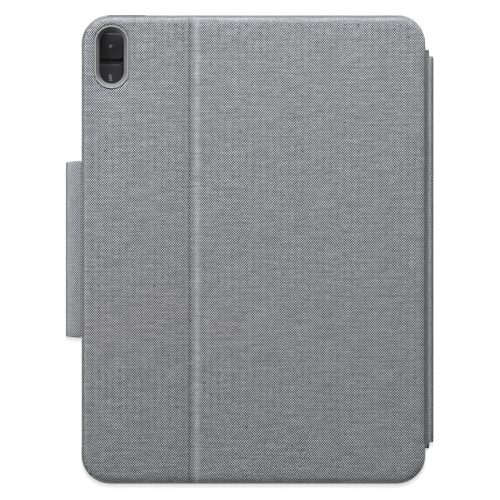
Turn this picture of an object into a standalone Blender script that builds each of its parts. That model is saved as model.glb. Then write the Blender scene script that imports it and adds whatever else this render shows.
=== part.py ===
"""Tablet keyboard case, closed and lying on its keyboard half. Metres, +Z up.

+X runs across the case to the spine, +Y along it, +Z out of the woven back.
The origin is the middle of the part's box, on the desk.
"""
import math

import bpy

MM = 0.001

# The tablet and the pen that the case is made for
TABLET_WIDTH = 179.5 * MM
TABLET_LENGTH = 248.6 * MM
TABLET_THICKNESS = 7.0 * MM
TABLET_CORNER = 12.0 * MM

# Fits
SEAT = 0.2 * MM            # gap between two layers that lie on each other
SLIDE_FIT = 0.3 * MM       # gap round a piece that slides in an opening
TABLET_FIT = 0.4 * MM      # gap between the tablet and the tray walls
TABLET_PLAY = 0.1 * MM     # gap over the tablet in the bay

# Case outline
SIDE_WALL = 3.5 * MM
END_WALL = 3.1 * MM
CASE_CORNER = 15.6 * MM
FLAP_REACH = 8.7 * MM      # how far the pen flap stands out on the left
SPINE_REACH = 4.4 * MM     # how far the spine stands out on the right
ARC_STEPS = 8
QUARTER_TURN = math.pi / 2.0
CUT_OVER = 1.0 * MM       # how far a cut runs past the face that it opens

# Keyboard half
FABRIC = 0.8 * MM
SHELL_FLOOR = 1.0 * MM
SHELL_WALL = 2.0 * MM
BASE_INSET = 0.5 * MM
BACK_PLATE = 0.5 * MM
MEMBRANE = 0.3 * MM
KEY_TRAVEL = 1.4 * MM
KEY_SLACK = 0.5 * MM       # room left under a pressed key
KEY_WEB = 0.6 * MM
KEY_HEIGHT = 1.6 * MM      # key top over the deck
DECK = 1.2 * MM
DECK_EDGE = 0.4 * MM       # chamfer round the deck
DECK_STEP = 1.2 * MM       # rear deck lies this much lower
REAR_DECK = 1.0 * MM
KEY_COLUMNS = 14.0
SHORTCUT_SHARE = 0.707     # depth of the shortcut row against a letter row
KEY_GAP = 2.6 * MM
ARROW_GAP = 1.2 * MM       # gap between the up and down keys
KEY_FLANGE = 0.9 * MM      # web that stays under the deck beside the end keys
KEY_MARGIN = 7.6 * MM      # front edge of the case to the first row
KEY_END_MARGIN = 8.8 * MM  # end of the case to the first key of a row
KEY_RAIL_GAP = 2.75 * MM   # last row to the dock rail

# Tablet half
TRAY_LIFT = 0.7 * MM       # tray over the key tops
LIP = 0.8 * MM
LIP_OVERHANG = 1.2 * MM
BAY_LINING = 0.4 * MM
TRAY_FLOOR = 0.9 * MM
TRAY_EDGE = 0.8 * MM       # chamfer round the back of the tray
TRAY_FOOT = 0.4 * MM       # chamfer round the front of the tray
TRAY_FOOT_RISE = 0.6 * MM
LINING_INSET = 3.0 * MM
LINING_WINDOW = 1.0 * MM   # lining kept back from the window
PROP_LINING = 0.5 * MM
PANEL_BOARD = 0.9 * MM
PANEL_INSET_SIDE = 0.6 * MM
PANEL_INSET_END = 1.3 * MM
FOLD_SHARE = 0.322         # left edge of the case to the fold, against its width
FOLD_CHANNEL = 4.0 * MM    # gap between the two boards at the fold
FOLD_SLIT = 0.5 * MM       # gap between the two fabrics at the fold

# Camera window
WINDOW_FROM_LEFT = 7.1 * MM   # case edge to the window edge
WINDOW_FROM_TOP = 6.0 * MM
WINDOW_WIDTH = 18.6 * MM
WINDOW_LENGTH = 34.4 * MM
BEZEL_WALL = 2.6 * MM
BEZEL_LIP = 0.7 * MM
BEZEL_PROUD = 0.2 * MM

# Docking rod, the tray turns about it
ROD_RADIUS = 0.8 * MM
ROD_FROM_END = 47.8 * MM
ROD_RISE = 1.6 * MM        # rod axis over the bottom of the tray
DOCK_SHARE = 0.4058        # travel of the rod to the rail, against the case width
RAIL_FIT = 2.6 * MM        # rod axis to the rail when docked
RAIL_WIDTH = 3.0 * MM
RAIL_FROM_END = 14.8 * MM
RAIL_CHAMFER = 1.0 * MM
DECK_SPLIT = 1.0 * MM      # deck step in front of the docked rod
BUMPER_WIDTH = 2.4 * MM

# Spine
SPINE_FROM_END = 22.7 * MM
STRIP_FROM_END = 19.1 * MM
SPINE_BOARD = 1.5 * MM
SPINE_SKIN = 0.8 * MM
HINGE_STRIP = 0.8 * MM
HINGE_FROM_EDGE = 1.0 * MM
LOWER_HINGE_Z = 3.6 * MM
SPINE_LOW = 0.4 * MM       # spine reaches this far below its lower hinge
SPINE_DROP = 0.5 * MM      # spine top under the panel top
SPINE_EDGE = 0.8 * MM      # chamfer on the spine outer edge
STRIP_DROP = 0.9 * MM      # upper hinge strip under the panel top

# Pen flap
FLAP_LENGTH = 96.6 * MM
FLAP_THICKNESS = 1.6 * MM
FLAP_DROP = 0.7 * MM       # flap top under the panel top
FLAP_SLIT = 0.7 * MM
FLAP_LEAN = math.radians(9.0)
FLAP_SIDE_START = 2.9 * MM
FLAP_SIDE_END = 19.0 * MM
FLAP_MAGNET_START = 14.5 * MM
FLAP_MAGNET = 4.1 * MM
FLAP_MAGNET_LENGTH = 60.0 * MM
PEN_SIDE_FROM_BOTTOM = 19.8 * MM
PEN_SIDE_FROM_TOP = 17.8 * MM
PEN_LIP_CLEAR = 0.5 * MM

# Small parts
BUTTON_FROM_LEFT = 14.2 * MM
BUTTON_WIDTH = 20.7 * MM
PORT_WIDTH = 18.0 * MM
PORT_HEIGHT = 5.2 * MM
CELL_RADIUS = 10.0 * MM
CELL_THICKNESS = 1.6 * MM
DRAWER_FROM_RIGHT = 54.0 * MM
DRAWER_FLOOR = 0.4 * MM
DRAWER_WALL = 1.5 * MM
CONTACT_WIDTH = 6.0 * MM
CONTACT_FROM_DOOR = 8.0 * MM
CONTACT_FROM_END = 6.0 * MM
SWITCH_WIDTH = 5.0 * MM
SWITCH_EAR = 1.5 * MM      # guide on each side, behind the wall
SWITCH_GUIDE = 1.2 * MM    # thickness of the guides
SWITCH_HEIGHT = 1.5 * MM
SWITCH_TRAVEL = 3.0 * MM
LIGHT_RADIUS = 0.8 * MM
LIGHT_FROM_END = 8.0 * MM
BOARD_FROM_KEYS = 14.0 * MM
BOARD_WIDTH = 18.0 * MM
BOARD_LENGTH = 40.0 * MM
BOARD_PLATE = 1.0 * MM
BOARD_CHIPS = 1.0 * MM     # height of the covered parts on the board
CHIPS_FROM_KEYS = 6.0 * MM
CHIPS_FROM_REAR = 5.0 * MM
TAIL_WIDTH = 12.0 * MM
LATCH_PLATE = 0.8 * MM
MAGNET_LENGTH = 50.0 * MM
DOCK_MAGNET_WIDTH = 4.0 * MM
DOCK_MAGNET_OFFSET = 2.0 * MM
DOCK_MAGNET_FROM_END = 16.0 * MM
PROP_MAGNET_WIDTH = 6.0 * MM
PROP_MAGNET_FROM_RIGHT = 18.0 * MM
PROP_MAGNET_FROM_END = 35.0 * MM

# Places that follow from the sizes
CASE_WIDTH = TABLET_WIDTH + 2.0 * (TABLET_FIT + SIDE_WALL)
CASE_LENGTH = TABLET_LENGTH + 2.0 * (TABLET_FIT + END_WALL)
LEFT = -CASE_WIDTH / 2.0 + (FLAP_REACH - SPINE_REACH) / 2.0
RIGHT = LEFT + CASE_WIDTH
TOP = CASE_LENGTH / 2.0

SHELL_Z = FABRIC + SEAT
FLOOR_Z = SHELL_Z + SHELL_FLOOR
PLATE_Z = FLOOR_Z + SEAT
MEMBRANE_Z = PLATE_Z + BACK_PLATE + SEAT
WEB_Z = MEMBRANE_Z + MEMBRANE + SEAT + KEY_SLACK + KEY_TRAVEL
DECK_Z = WEB_Z + KEY_WEB + SLIDE_FIT
DECK_TOP = DECK_Z + DECK
KEY_TOP = DECK_TOP + KEY_HEIGHT
REAR_TOP = DECK_TOP - DECK_STEP
REAR_Z = REAR_TOP - REAR_DECK
RIM_Z = REAR_Z - SEAT

TRAY_Z = KEY_TOP + TRAY_LIFT
LIP_Z = TRAY_Z + LIP
BAY_TOP = LIP_Z + TABLET_THICKNESS + TABLET_PLAY + BAY_LINING + SEAT
TRAY_TOP = BAY_TOP + TRAY_FLOOR
LINING_Z = TRAY_TOP + SEAT
BOARD_Z = LINING_Z + PROP_LINING + SEAT
BOARD_TOP = BOARD_Z + PANEL_BOARD
SKIN_Z = BOARD_TOP + SEAT
CASE_TOP = SKIN_Z + FABRIC

ROD_X = RIGHT - SIDE_WALL / 2.0
ROD_Z = TRAY_Z + ROD_RISE
DOCK_TRAVEL = DOCK_SHARE * CASE_WIDTH
DOCK_X = ROD_X - DOCK_TRAVEL
RAIL_REAR = DOCK_X - RAIL_FIT
RAIL_FRONT = RAIL_REAR - RAIL_WIDTH
KEY_FRONT = LEFT + KEY_MARGIN
KEY_REAR = RAIL_FRONT - KEY_RAIL_GAP
ROW_PITCH = (KEY_REAR - KEY_FRONT) / (5.0 + SHORTCUT_SHARE)
KEY_HALF = TOP - KEY_END_MARGIN
KEY_UNIT = 2.0 * KEY_HALF / KEY_COLUMNS
FOLD_X = LEFT + FOLD_SHARE * CASE_WIDTH
HINGE_X = RIGHT + HINGE_FROM_EDGE
FLAP_TOP = CASE_TOP - FLAP_DROP
FLAP_INNER = LEFT + PANEL_INSET_SIDE - FLAP_SLIT
WINDOW_X = LEFT + WINDOW_FROM_LEFT + WINDOW_WIDTH / 2.0
WINDOW_Y = TOP - WINDOW_FROM_TOP - WINDOW_LENGTH / 2.0


def clear_scene():
    """Start from an empty file."""
    for item in list(bpy.data.objects):
        bpy.data.objects.remove(item, do_unlink=True)


def make_material(name, colour, roughness, metallic=0.0):
    """Plain Principled material."""
    material = bpy.data.materials.new(name)
    material.use_nodes = True
    shader = material.node_tree.nodes["Principled BSDF"]
    shader.inputs["Base Color"].default_value = (*colour, 1.0)
    shader.inputs["Roughness"].default_value = roughness
    shader.inputs["Metallic"].default_value = metallic
    return material


def make_axis(name, place, parent=None):
    """Empty on a joint axis; parent places are taken off its own."""
    axis = bpy.data.objects.new(name, None)
    axis.empty_display_size = 10.0 * MM
    axis["place"] = place
    base = (0.0, 0.0, 0.0)
    if parent is not None:
        base = tuple(parent["place"])
        axis.parent = parent
    axis.location = [place[i] - base[i] for i in range(3)]
    bpy.context.scene.collection.objects.link(axis)
    return axis


def add_mesh(name, points, faces, material=None, axis=None, middle=False):
    """Object from points in the part's frame, carried by an axis or set on its own middle."""
    place = (0.0, 0.0, 0.0)
    if axis is not None:
        place = tuple(axis["place"])
    if middle:
        lows = [min(point[i] for point in points) for i in range(3)]
        highs = [max(point[i] for point in points) for i in range(3)]
        place = [(lows[i] + highs[i]) / 2.0 for i in range(3)]
    mesh = bpy.data.meshes.new(name)
    local = [[point[i] - place[i] for i in range(3)] for point in points]
    mesh.from_pydata(local, [], faces)
    mesh.validate()
    mesh.update()
    item = bpy.data.objects.new(name, mesh)
    if axis is not None:
        item.parent = axis
    else:
        item.location = place
    if material is not None:
        mesh.materials.append(material)
    bpy.context.scene.collection.objects.link(item)
    return item


def loft(name, levels, material=None, axis=None, middle=False):
    """Closed solid through a stack of outlines, each an (outline, z) pair, lowest first."""
    count = len(levels[0][0])
    points = []
    for outline, z in levels:
        points.extend((x, y, z) for x, y in outline)
    faces = [tuple(reversed(range(count)))]
    for level in range(len(levels) - 1):
        low = level * count
        high = low + count
        for i in range(count):
            j = (i + 1) % count
            faces.append((low + i, low + j, high + j, high + i))
    last = (len(levels) - 1) * count
    faces.append(tuple(range(last, last + count)))
    return add_mesh(name, points, faces, material, axis, middle)


def bar_along_y(name, profile, start, end, material=None, axis=None):
    """Closed solid from an (x, z) profile, drawn anticlockwise seen from -Y."""
    count = len(profile)
    points = [(x, start, z) for x, z in profile]
    points.extend((x, end, z) for x, z in profile)
    faces = [tuple(range(count)), tuple(reversed(range(count, 2 * count)))]
    for i in range(count):
        j = (i + 1) % count
        faces.append((i, i + count, j + count, j))
    return add_mesh(name, points, faces, material, axis)


def rectangle(x0, x1, y0, y1):
    """Outline of a plain rectangle."""
    return [(x0, y0), (x1, y0), (x1, y1), (x0, y1)]


def block(name, xs, ys, zs, material=None, axis=None, middle=False):
    """Closed box between pairs of x, y and z."""
    outline = rectangle(xs[0], xs[1], ys[0], ys[1])
    return loft(name, [(outline, zs[0]), (outline, zs[1])], material, axis, middle)


def rounded(x0, x1, y0, y1, left_radius, right_radius):
    """Outline with round corners, one radius for each side; a square side has radius 0."""
    corners = (
        (x1, y0, right_radius, -1, -1.0, 1.0),
        (x1, y1, right_radius, 0, -1.0, -1.0),
        (x0, y1, left_radius, 1, 1.0, -1.0),
        (x0, y0, left_radius, 2, 1.0, 1.0),
    )
    outline = []
    for x, y, radius, start, to_x, to_y in corners:
        if radius <= 0.0:
            outline.append((x, y))
            continue
        for step in range(ARC_STEPS + 1):
            angle = QUARTER_TURN * (start + step / ARC_STEPS)
            along_x = radius * (to_x + math.cos(angle))
            along_y = radius * (to_y + math.sin(angle))
            outline.append((x + along_x, y + along_y))
    return outline


def case_outline(inset, left=None, right=None):
    """Case outline moved inwards, or the part of it between two straight sides."""
    radius = CASE_CORNER - inset
    x0 = LEFT + inset if left is None else left
    x1 = RIGHT - inset if right is None else right
    left_radius = radius if left is None else 0.0
    right_radius = radius if right is None else 0.0
    return rounded(x0, x1, -TOP + inset, TOP - inset, left_radius, right_radius)


def panel_outline(left=None, right=None):
    """Outline of a back panel on one side of the fold."""
    radius = CASE_CORNER - PANEL_INSET_END
    x0 = LEFT + PANEL_INSET_SIDE if left is None else left
    x1 = RIGHT - PANEL_INSET_SIDE if right is None else right
    left_radius = radius if left is None else 0.0
    right_radius = radius if right is None else 0.0
    half = TOP - PANEL_INSET_END
    return rounded(x0, x1, -half, half, left_radius, right_radius)


def bay_outline(inset):
    """Outline of the tablet bay moved inwards."""
    half_width = TABLET_WIDTH / 2.0 + TABLET_FIT - inset
    half_length = TABLET_LENGTH / 2.0 + TABLET_FIT - inset
    middle = (LEFT + RIGHT) / 2.0
    radius = TABLET_CORNER - inset
    return rounded(middle - half_width, middle + half_width, -half_length, half_length, radius, radius)


def pill(x, y, width, length):
    """Outline with two round ends, long way along Y."""
    return rounded(x - width / 2.0, x + width / 2.0, y - length / 2.0, y + length / 2.0,
                   width / 2.0, width / 2.0)


def circle(x, y, radius, steps=24):
    """Round outline."""
    turn = 2.0 * math.pi / steps
    return [(x + radius * math.cos(turn * i), y + radius * math.sin(turn * i)) for i in range(steps)]


def cut(target, cutter):
    """Take the cutter out of the target and hide the cutter."""
    cutter.hide_render = True
    cutter.display_type = "WIRE"
    modifier = target.modifiers.new("cut", "BOOLEAN")
    modifier.operation = "DIFFERENCE"
    modifier.solver = "EXACT"
    modifier.object = cutter


clear_scene()

fabric = make_material("woven fabric", (0.27, 0.27, 0.28), 0.95)
tray_plastic = make_material("tray plastic", (0.22, 0.22, 0.23), 0.6)
bezel_plastic = make_material("bezel plastic", (0.20, 0.20, 0.21), 0.5)
deck_plastic = make_material("deck plastic", (0.12, 0.12, 0.13), 0.6)
key_plastic = make_material("key plastic", (0.05, 0.05, 0.055), 0.5)
lining_cloth = make_material("lining cloth", (0.10, 0.10, 0.11), 0.98)
board_card = make_material("stiff board", (0.35, 0.31, 0.26), 0.9)
rubber = make_material("hinge rubber", (0.09, 0.09, 0.10), 0.75)
steel = make_material("steel", (0.55, 0.55, 0.56), 0.35, 1.0)
magnet_metal = make_material("magnet", (0.45, 0.45, 0.46), 0.4, 1.0)
circuit = make_material("circuit board", (0.03, 0.16, 0.08), 0.5)
film = make_material("switch film", (0.55, 0.53, 0.45), 0.4)
light_plastic = make_material("light window", (0.75, 0.80, 0.75), 0.2)

slide_axis = make_axis("tray_slide_axis", (ROD_X, 0.0, ROD_Z))
tilt_axis = make_axis("tray_tilt_axis", (ROD_X, 0.0, ROD_Z), slide_axis)
fold_axis = make_axis("easel_fold_axis", (FOLD_X, 0.0, CASE_TOP), tilt_axis)
spine_axis = make_axis("spine_fold_axis", (HINGE_X, 0.0, LOWER_HINGE_Z))
flap_axis = make_axis("flap_lift_axis", (FLAP_INNER + SEAT, 0.0, FLAP_TOP), tilt_axis)
flap_side_axis = make_axis("flap_side_axis", (LEFT - FLAP_REACH, 0.0, FLAP_TOP), flap_axis)

# Keyboard half: cover, shell and what lies in it
loft("base_fabric", [(case_outline(BASE_INSET), 0.0), (case_outline(BASE_INSET), FABRIC)], fabric)

shell = loft("base_shell", [
    (case_outline(BASE_INSET), SHELL_Z),
    (case_outline(BASE_INSET), RIM_Z),
], tray_plastic)
pocket = case_outline(BASE_INSET + SHELL_WALL)
cut(shell, loft("cut_shell_pocket", [(pocket, FLOOR_Z), (pocket, RIM_Z + CUT_OVER)]))

plate_x = (KEY_FRONT, KEY_REAR)
plate_y = (-KEY_HALF, KEY_HALF)
block("key_back_plate", plate_x, plate_y, (PLATE_Z, PLATE_Z + BACK_PLATE), steel)
block("membrane_sheet", plate_x, plate_y, (MEMBRANE_Z, MEMBRANE_Z + MEMBRANE), film)

board_x = (KEY_REAR + BOARD_FROM_KEYS, KEY_REAR + BOARD_FROM_KEYS + BOARD_WIDTH)
board_top = PLATE_Z + BOARD_PLATE
chips_top = board_top + BOARD_CHIPS
half_board = BOARD_LENGTH / 2.0
bar_along_y("controller_board", [
    (board_x[0], PLATE_Z),
    (board_x[1], PLATE_Z),
    (board_x[1], board_top),
    (board_x[1] - CHIPS_FROM_REAR, board_top),
    (board_x[1] - CHIPS_FROM_REAR, chips_top),
    (board_x[0] + CHIPS_FROM_KEYS, chips_top),
    (board_x[0] + CHIPS_FROM_KEYS, board_top),
    (board_x[0], board_top),
], -half_board, half_board, circuit)
tail_start = plate_x[1] + SLIDE_FIT
tail_end = board_x[0] - SLIDE_FIT
half_tail = TAIL_WIDTH / 2.0
block("flex_tail", (tail_start, tail_end), (-half_tail, half_tail), (PLATE_Z, PLATE_Z + BACK_PLATE), film)

magnet_front = DOCK_X + DOCK_MAGNET_OFFSET
magnet_x = (magnet_front, magnet_front + DOCK_MAGNET_WIDTH)
magnet_z = (PLATE_Z, RIM_Z)
for side, name in ((1.0, "dock_magnet_left"), (-1.0, "dock_magnet_right")):
    near = side * (TOP - DOCK_MAGNET_FROM_END)
    far = near - side * MAGNET_LENGTH
    block(name, magnet_x, (min(near, far), max(near, far)), magnet_z, magnet_metal)

latch_start = LEFT + BASE_INSET + SHELL_WALL + SEAT
half_latch = FLAP_MAGNET_LENGTH / 2.0
block("latch_plate", (latch_start, latch_start + LATCH_PLATE), (-half_latch, half_latch),
      (PLATE_Z, RIM_Z), steel)

# Decks and dock rail
deck_split = DOCK_X - DECK_SPLIT
deck = loft("key_deck", [
    (case_outline(BASE_INSET, right=deck_split), REAR_Z),
    (case_outline(BASE_INSET, right=deck_split), DECK_TOP - DECK_EDGE),
    (case_outline(BASE_INSET + DECK_EDGE, right=deck_split), DECK_TOP),
], deck_plastic)
deck_pocket = case_outline(BASE_INSET + SHELL_WALL, right=deck_split - SHELL_WALL)
cut(deck, loft("cut_deck_pocket", [(deck_pocket, REAR_Z - CUT_OVER), (deck_pocket, DECK_Z)]))

rear_outline = case_outline(BASE_INSET, left=deck_split + SEAT)
loft("rear_deck", [(rear_outline, REAR_Z), (rear_outline, REAR_TOP)], deck_plastic)

rail_z = DECK_TOP + SEAT
rail_top = LIP_Z - SLIDE_FIT
half_rail = TOP - RAIL_FROM_END
bar_along_y("dock_rail", [
    (RAIL_FRONT, rail_z),
    (RAIL_REAR, rail_z),
    (RAIL_REAR, rail_top),
    (RAIL_FRONT + RAIL_CHAMFER, rail_top),
    (RAIL_FRONT, rail_top - RAIL_CHAMFER),
], -half_rail, half_rail, rubber)

bumper_x = (LEFT + CASE_CORNER, RAIL_FRONT - CASE_CORNER)
bumper_z = (DECK_TOP + SEAT, TRAY_Z - SLIDE_FIT)
for side, name in ((1.0, "deck_bumper_left"), (-1.0, "deck_bumper_right")):
    outer = side * (TOP - BASE_INSET - DECK_EDGE - SLIDE_FIT)
    inner = outer - side * BUMPER_WIDTH
    block(name, bumper_x, (min(outer, inner), max(outer, inner)), bumper_z, rubber)

light_x = (KEY_REAR + RAIL_FRONT) / 2.0
light_y = KEY_HALF - LIGHT_FROM_END
light = circle(light_x, light_y, LIGHT_RADIUS, 12)
loft("status_light", [(light, DECK_Z + SEAT), (light, DECK_TOP)], light_plastic)
light_hole = circle(light_x, light_y, LIGHT_RADIUS + SEAT, 12)
cut(deck, loft("cut_light", [(light_hole, DECK_Z - CUT_OVER), (light_hole, DECK_TOP + CUT_OVER)]))

# Keys: each node is one key, or one run of keys on a shared web under the deck
KEY_RUNS = (
    ("shortcut_keys", 5, 0.0, (1.0,) * 14),
    ("number_keys", 4, 0.0, (1.0,) * 13),
    ("delete_key", 4, 13.0, (1.0,)),
    ("tab_key", 3, 0.0, (1.0,)),
    ("upper_letter_keys", 3, 1.0, (1.0,) * 13),
    ("caps_key", 2, 0.0, (1.5,)),
    ("home_letter_keys", 2, 1.5, (1.0,) * 11),
    ("return_key", 2, 12.5, (1.5,)),
    ("left_shift_key", 1, 0.0, (2.0,)),
    ("lower_letter_keys", 1, 2.0, (1.0,) * 10),
    ("right_shift_key", 1, 12.0, (2.0,)),
    ("left_modifier_keys", 0, 0.0, (1.0, 1.0, 1.0, 1.25)),
    ("space_key", 0, 4.25, (5.0,)),
    ("right_modifier_keys", 0, 9.25, (1.25, 1.0)),
    ("left_arrow_key", 0, 11.5, (0.83,)),
    ("down_arrow_key", 0, 12.33, (0.83,)),
    ("up_arrow_key", 0, 12.33, (0.83,)),
    ("right_arrow_key", 0, 13.16, (0.84,)),
)


def row_span(name, row):
    """Front and rear of the caps in a row; the up and down keys share one place."""
    front = KEY_FRONT + row * ROW_PITCH + KEY_GAP / 2.0
    depth = ROW_PITCH - KEY_GAP
    if row == 5:
        depth = SHORTCUT_SHARE * ROW_PITCH - KEY_GAP
    half = (depth - ARROW_GAP) / 2.0
    if name == "down_arrow_key":
        return front, front + half
    if name == "up_arrow_key":
        return front + depth - half, front + depth
    return front, front + depth


def cap_spans(start, widths):
    """Low and high Y of each cap in a run; the run starts at the user's left, which is +Y."""
    spans = []
    place = KEY_HALF - start * KEY_UNIT
    for width in widths:
        low = place - width * KEY_UNIT
        spans.append((low + KEY_GAP / 2.0, place - KEY_GAP / 2.0))
        place = low
    return list(reversed(spans))


def key_run(name, row, start, widths):
    """Caps on one web, drawn as a comb in YZ and carried through the row's depth."""
    front, rear = row_span(name, row)
    spans = cap_spans(start, widths)
    comb = [(spans[0][0] - KEY_FLANGE, WEB_Z), (spans[-1][1] + KEY_FLANGE, WEB_Z)]
    comb.append((spans[-1][1] + KEY_FLANGE, WEB_Z + KEY_WEB))
    for low, high in reversed(spans):
        comb.append((high, WEB_Z + KEY_WEB))
        comb.append((high, KEY_TOP))
        comb.append((low, KEY_TOP))
        comb.append((low, WEB_Z + KEY_WEB))
    comb.append((spans[0][0] - KEY_FLANGE, WEB_Z + KEY_WEB))
    count = len(comb)
    points = [(front, y, z) for y, z in comb] + [(rear, y, z) for y, z in comb]
    faces = [tuple(reversed(range(count))), tuple(range(count, 2 * count))]
    for i in range(count):
        j = (i + 1) % count
        faces.append((i, j, j + count, i + count))
    add_mesh(name, points, faces, key_plastic, middle=True)
    return [(front, rear, low, high) for low, high in spans]


BOX_FACES = ((3, 2, 1, 0), (4, 5, 6, 7), (0, 1, 5, 4), (1, 2, 6, 5), (2, 3, 7, 6), (3, 0, 4, 7))
hole_points = []
hole_faces = []
for run in KEY_RUNS:
    for front, rear, low, high in key_run(*run):
        first = len(hole_points)
        outline = rectangle(front - SLIDE_FIT, rear + SLIDE_FIT, low - SLIDE_FIT, high + SLIDE_FIT)
        for z in (DECK_Z - CUT_OVER, DECK_TOP + CUT_OVER):
            hole_points.extend((x, y, z) for x, y in outline)
        for corners in BOX_FACES:
            hole_faces.append(tuple(first + corner for corner in corners))
cut(deck, add_mesh("cut_key_holes", hole_points, hole_faces))

# Battery drawer in the lower end wall
drawer_width = 2.0 * (CELL_RADIUS + DRAWER_WALL)
drawer_x = (RIGHT - DRAWER_FROM_RIGHT, RIGHT - DRAWER_FROM_RIGHT + drawer_width)
drawer_length = 4.0 * CELL_RADIUS + 3.0 * DRAWER_WALL
drawer_end = -TOP + BASE_INSET
drawer_y = (drawer_end, drawer_end + drawer_length + SHELL_WALL)
drawer_z = (FLOOR_Z + SEAT, FLOOR_Z + SEAT + DRAWER_FLOOR + SEAT + CELL_THICKNESS)
cell_x = (drawer_x[0] + drawer_x[1]) / 2.0
cell_z = drawer_z[0] + DRAWER_FLOOR + SEAT
drawer = block("battery_drawer", drawer_x, drawer_y, drawer_z, deck_plastic, middle=True)
for index, name in enumerate(("coin_cell_outer", "coin_cell_inner")):
    step = 2.0 * CELL_RADIUS + DRAWER_WALL
    cell_y = drawer_end + SHELL_WALL + DRAWER_WALL + CELL_RADIUS + index * step
    cell = circle(cell_x, cell_y, CELL_RADIUS)
    well = circle(cell_x, cell_y, CELL_RADIUS + SLIDE_FIT)
    loft(name, [(cell, cell_z), (cell, cell_z + CELL_THICKNESS)], steel, middle=True)
    cut(drawer, loft("cut_" + name, [(well, cell_z - SEAT), (well, drawer_z[1] + CUT_OVER)]))
cut(shell, block(
    "cut_drawer_door",
    (drawer_x[0] - SLIDE_FIT, drawer_x[1] + SLIDE_FIT),
    (drawer_end - CUT_OVER, drawer_end + SHELL_WALL + CUT_OVER),
    (drawer_z[0] - SEAT / 2.0, drawer_z[1] + SLIDE_FIT),
))
half_contact = CONTACT_WIDTH / 2.0
block("battery_contact", (cell_x - half_contact, cell_x + half_contact),
      (drawer_y[0] + CONTACT_FROM_DOOR, drawer_y[1] - CONTACT_FROM_END),
      (drawer_z[1] + SLIDE_FIT, REAR_Z - SEAT), steel)

# Power switch in the same wall
switch_right = RIGHT - CASE_CORNER - SWITCH_EAR - SWITCH_TRAVEL - SLIDE_FIT
switch_x = (switch_right - SWITCH_WIDTH, switch_right)
switch_z = (FLOOR_Z + SLIDE_FIT, FLOOR_Z + SLIDE_FIT + SWITCH_HEIGHT)
inner_wall = drawer_end + SHELL_WALL
switch_outline = [
    (switch_x[0], -TOP + SEAT),
    (switch_x[1], -TOP + SEAT),
    (switch_x[1], inner_wall + SLIDE_FIT),
    (switch_x[1] + SWITCH_EAR, inner_wall + SLIDE_FIT),
    (switch_x[1] + SWITCH_EAR, inner_wall + SLIDE_FIT + SWITCH_GUIDE),
    (switch_x[0] - SWITCH_EAR, inner_wall + SLIDE_FIT + SWITCH_GUIDE),
    (switch_x[0] - SWITCH_EAR, inner_wall + SLIDE_FIT),
    (switch_x[0], inner_wall + SLIDE_FIT),
]
loft("power_switch", [(switch_outline, switch_z[0]), (switch_outline, switch_z[1])],
     key_plastic, middle=True)
cut(shell, block(
    "cut_switch_slot",
    (switch_x[0] - SLIDE_FIT, switch_x[1] + SWITCH_TRAVEL + SLIDE_FIT),
    (drawer_end - CUT_OVER, inner_wall + CUT_OVER),
    (switch_z[0] - SLIDE_FIT / 2.0, switch_z[1] + SLIDE_FIT),
))

# Docking rod
rod_profile = [(ROD_X + x, ROD_Z + z) for x, z in circle(0.0, 0.0, ROD_RADIUS, 16)]
half_rod = TOP - ROD_FROM_END
bar_along_y("dock_rod", rod_profile, -half_rod, half_rod, steel, slide_axis)

# Tablet tray
tray = loft("tablet_tray", [
    (case_outline(TRAY_FOOT), TRAY_Z),
    (case_outline(0.0), TRAY_Z + TRAY_FOOT_RISE),
    (case_outline(0.0), TRAY_TOP - TRAY_EDGE),
    (case_outline(TRAY_EDGE), TRAY_TOP),
], tray_plastic, tilt_axis)
cut(tray, loft("cut_tablet_bay", [
    (bay_outline(LIP_OVERHANG), TRAY_Z - CUT_OVER),
    (bay_outline(LIP_OVERHANG), LIP_Z),
    (bay_outline(0.0), LIP_Z),
    (bay_outline(0.0), BAY_TOP),
]))
groove_half = ROD_RADIUS + SEAT
cut(tray, block("cut_rod_groove", (ROD_X - groove_half, ROD_X + groove_half),
                (-half_rod - SLIDE_FIT, half_rod + SLIDE_FIT),
                (TRAY_Z - CUT_OVER, ROD_Z + groove_half)))
tablet_left = LEFT + SIDE_WALL + TABLET_FIT
lip_inner = LEFT + SIDE_WALL + LIP_OVERHANG + PEN_LIP_CLEAR
cut(tray, bar_along_y("cut_pen_side", [
    (LEFT - CUT_OVER, TRAY_Z - CUT_OVER),
    (lip_inner, TRAY_Z - CUT_OVER),
    (lip_inner, LIP_Z + SEAT),
    (tablet_left, LIP_Z + SEAT),
    (tablet_left, TRAY_TOP + CUT_OVER),
    (LEFT - CUT_OVER, TRAY_TOP + CUT_OVER),
], -TOP + PEN_SIDE_FROM_BOTTOM, TOP - PEN_SIDE_FROM_TOP))
button_x = (LEFT + BUTTON_FROM_LEFT, LEFT + BUTTON_FROM_LEFT + BUTTON_WIDTH)
cut(tray, block("cut_top_button", button_x, (TOP - END_WALL - TABLET_FIT, TOP + CUT_OVER),
                (LIP_Z + SEAT, TRAY_TOP + CUT_OVER)))
middle_x = (LEFT + RIGHT) / 2.0
middle_z = LIP_Z + TABLET_THICKNESS / 2.0
cut(tray, block("cut_port", (middle_x - PORT_WIDTH / 2.0, middle_x + PORT_WIDTH / 2.0),
                (-TOP - CUT_OVER, -TOP + END_WALL + TABLET_FIT),
                (middle_z - PORT_HEIGHT / 2.0, middle_z + PORT_HEIGHT / 2.0)))
window_inner = (WINDOW_WIDTH - 2.0 * BEZEL_WALL, WINDOW_LENGTH - 2.0 * BEZEL_WALL)
window_low = pill(WINDOW_X, WINDOW_Y, *window_inner)
cut(tray, loft("cut_window_tray", [(window_low, BAY_TOP - CUT_OVER), (window_low, TRAY_TOP + CUT_OVER)]))

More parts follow.
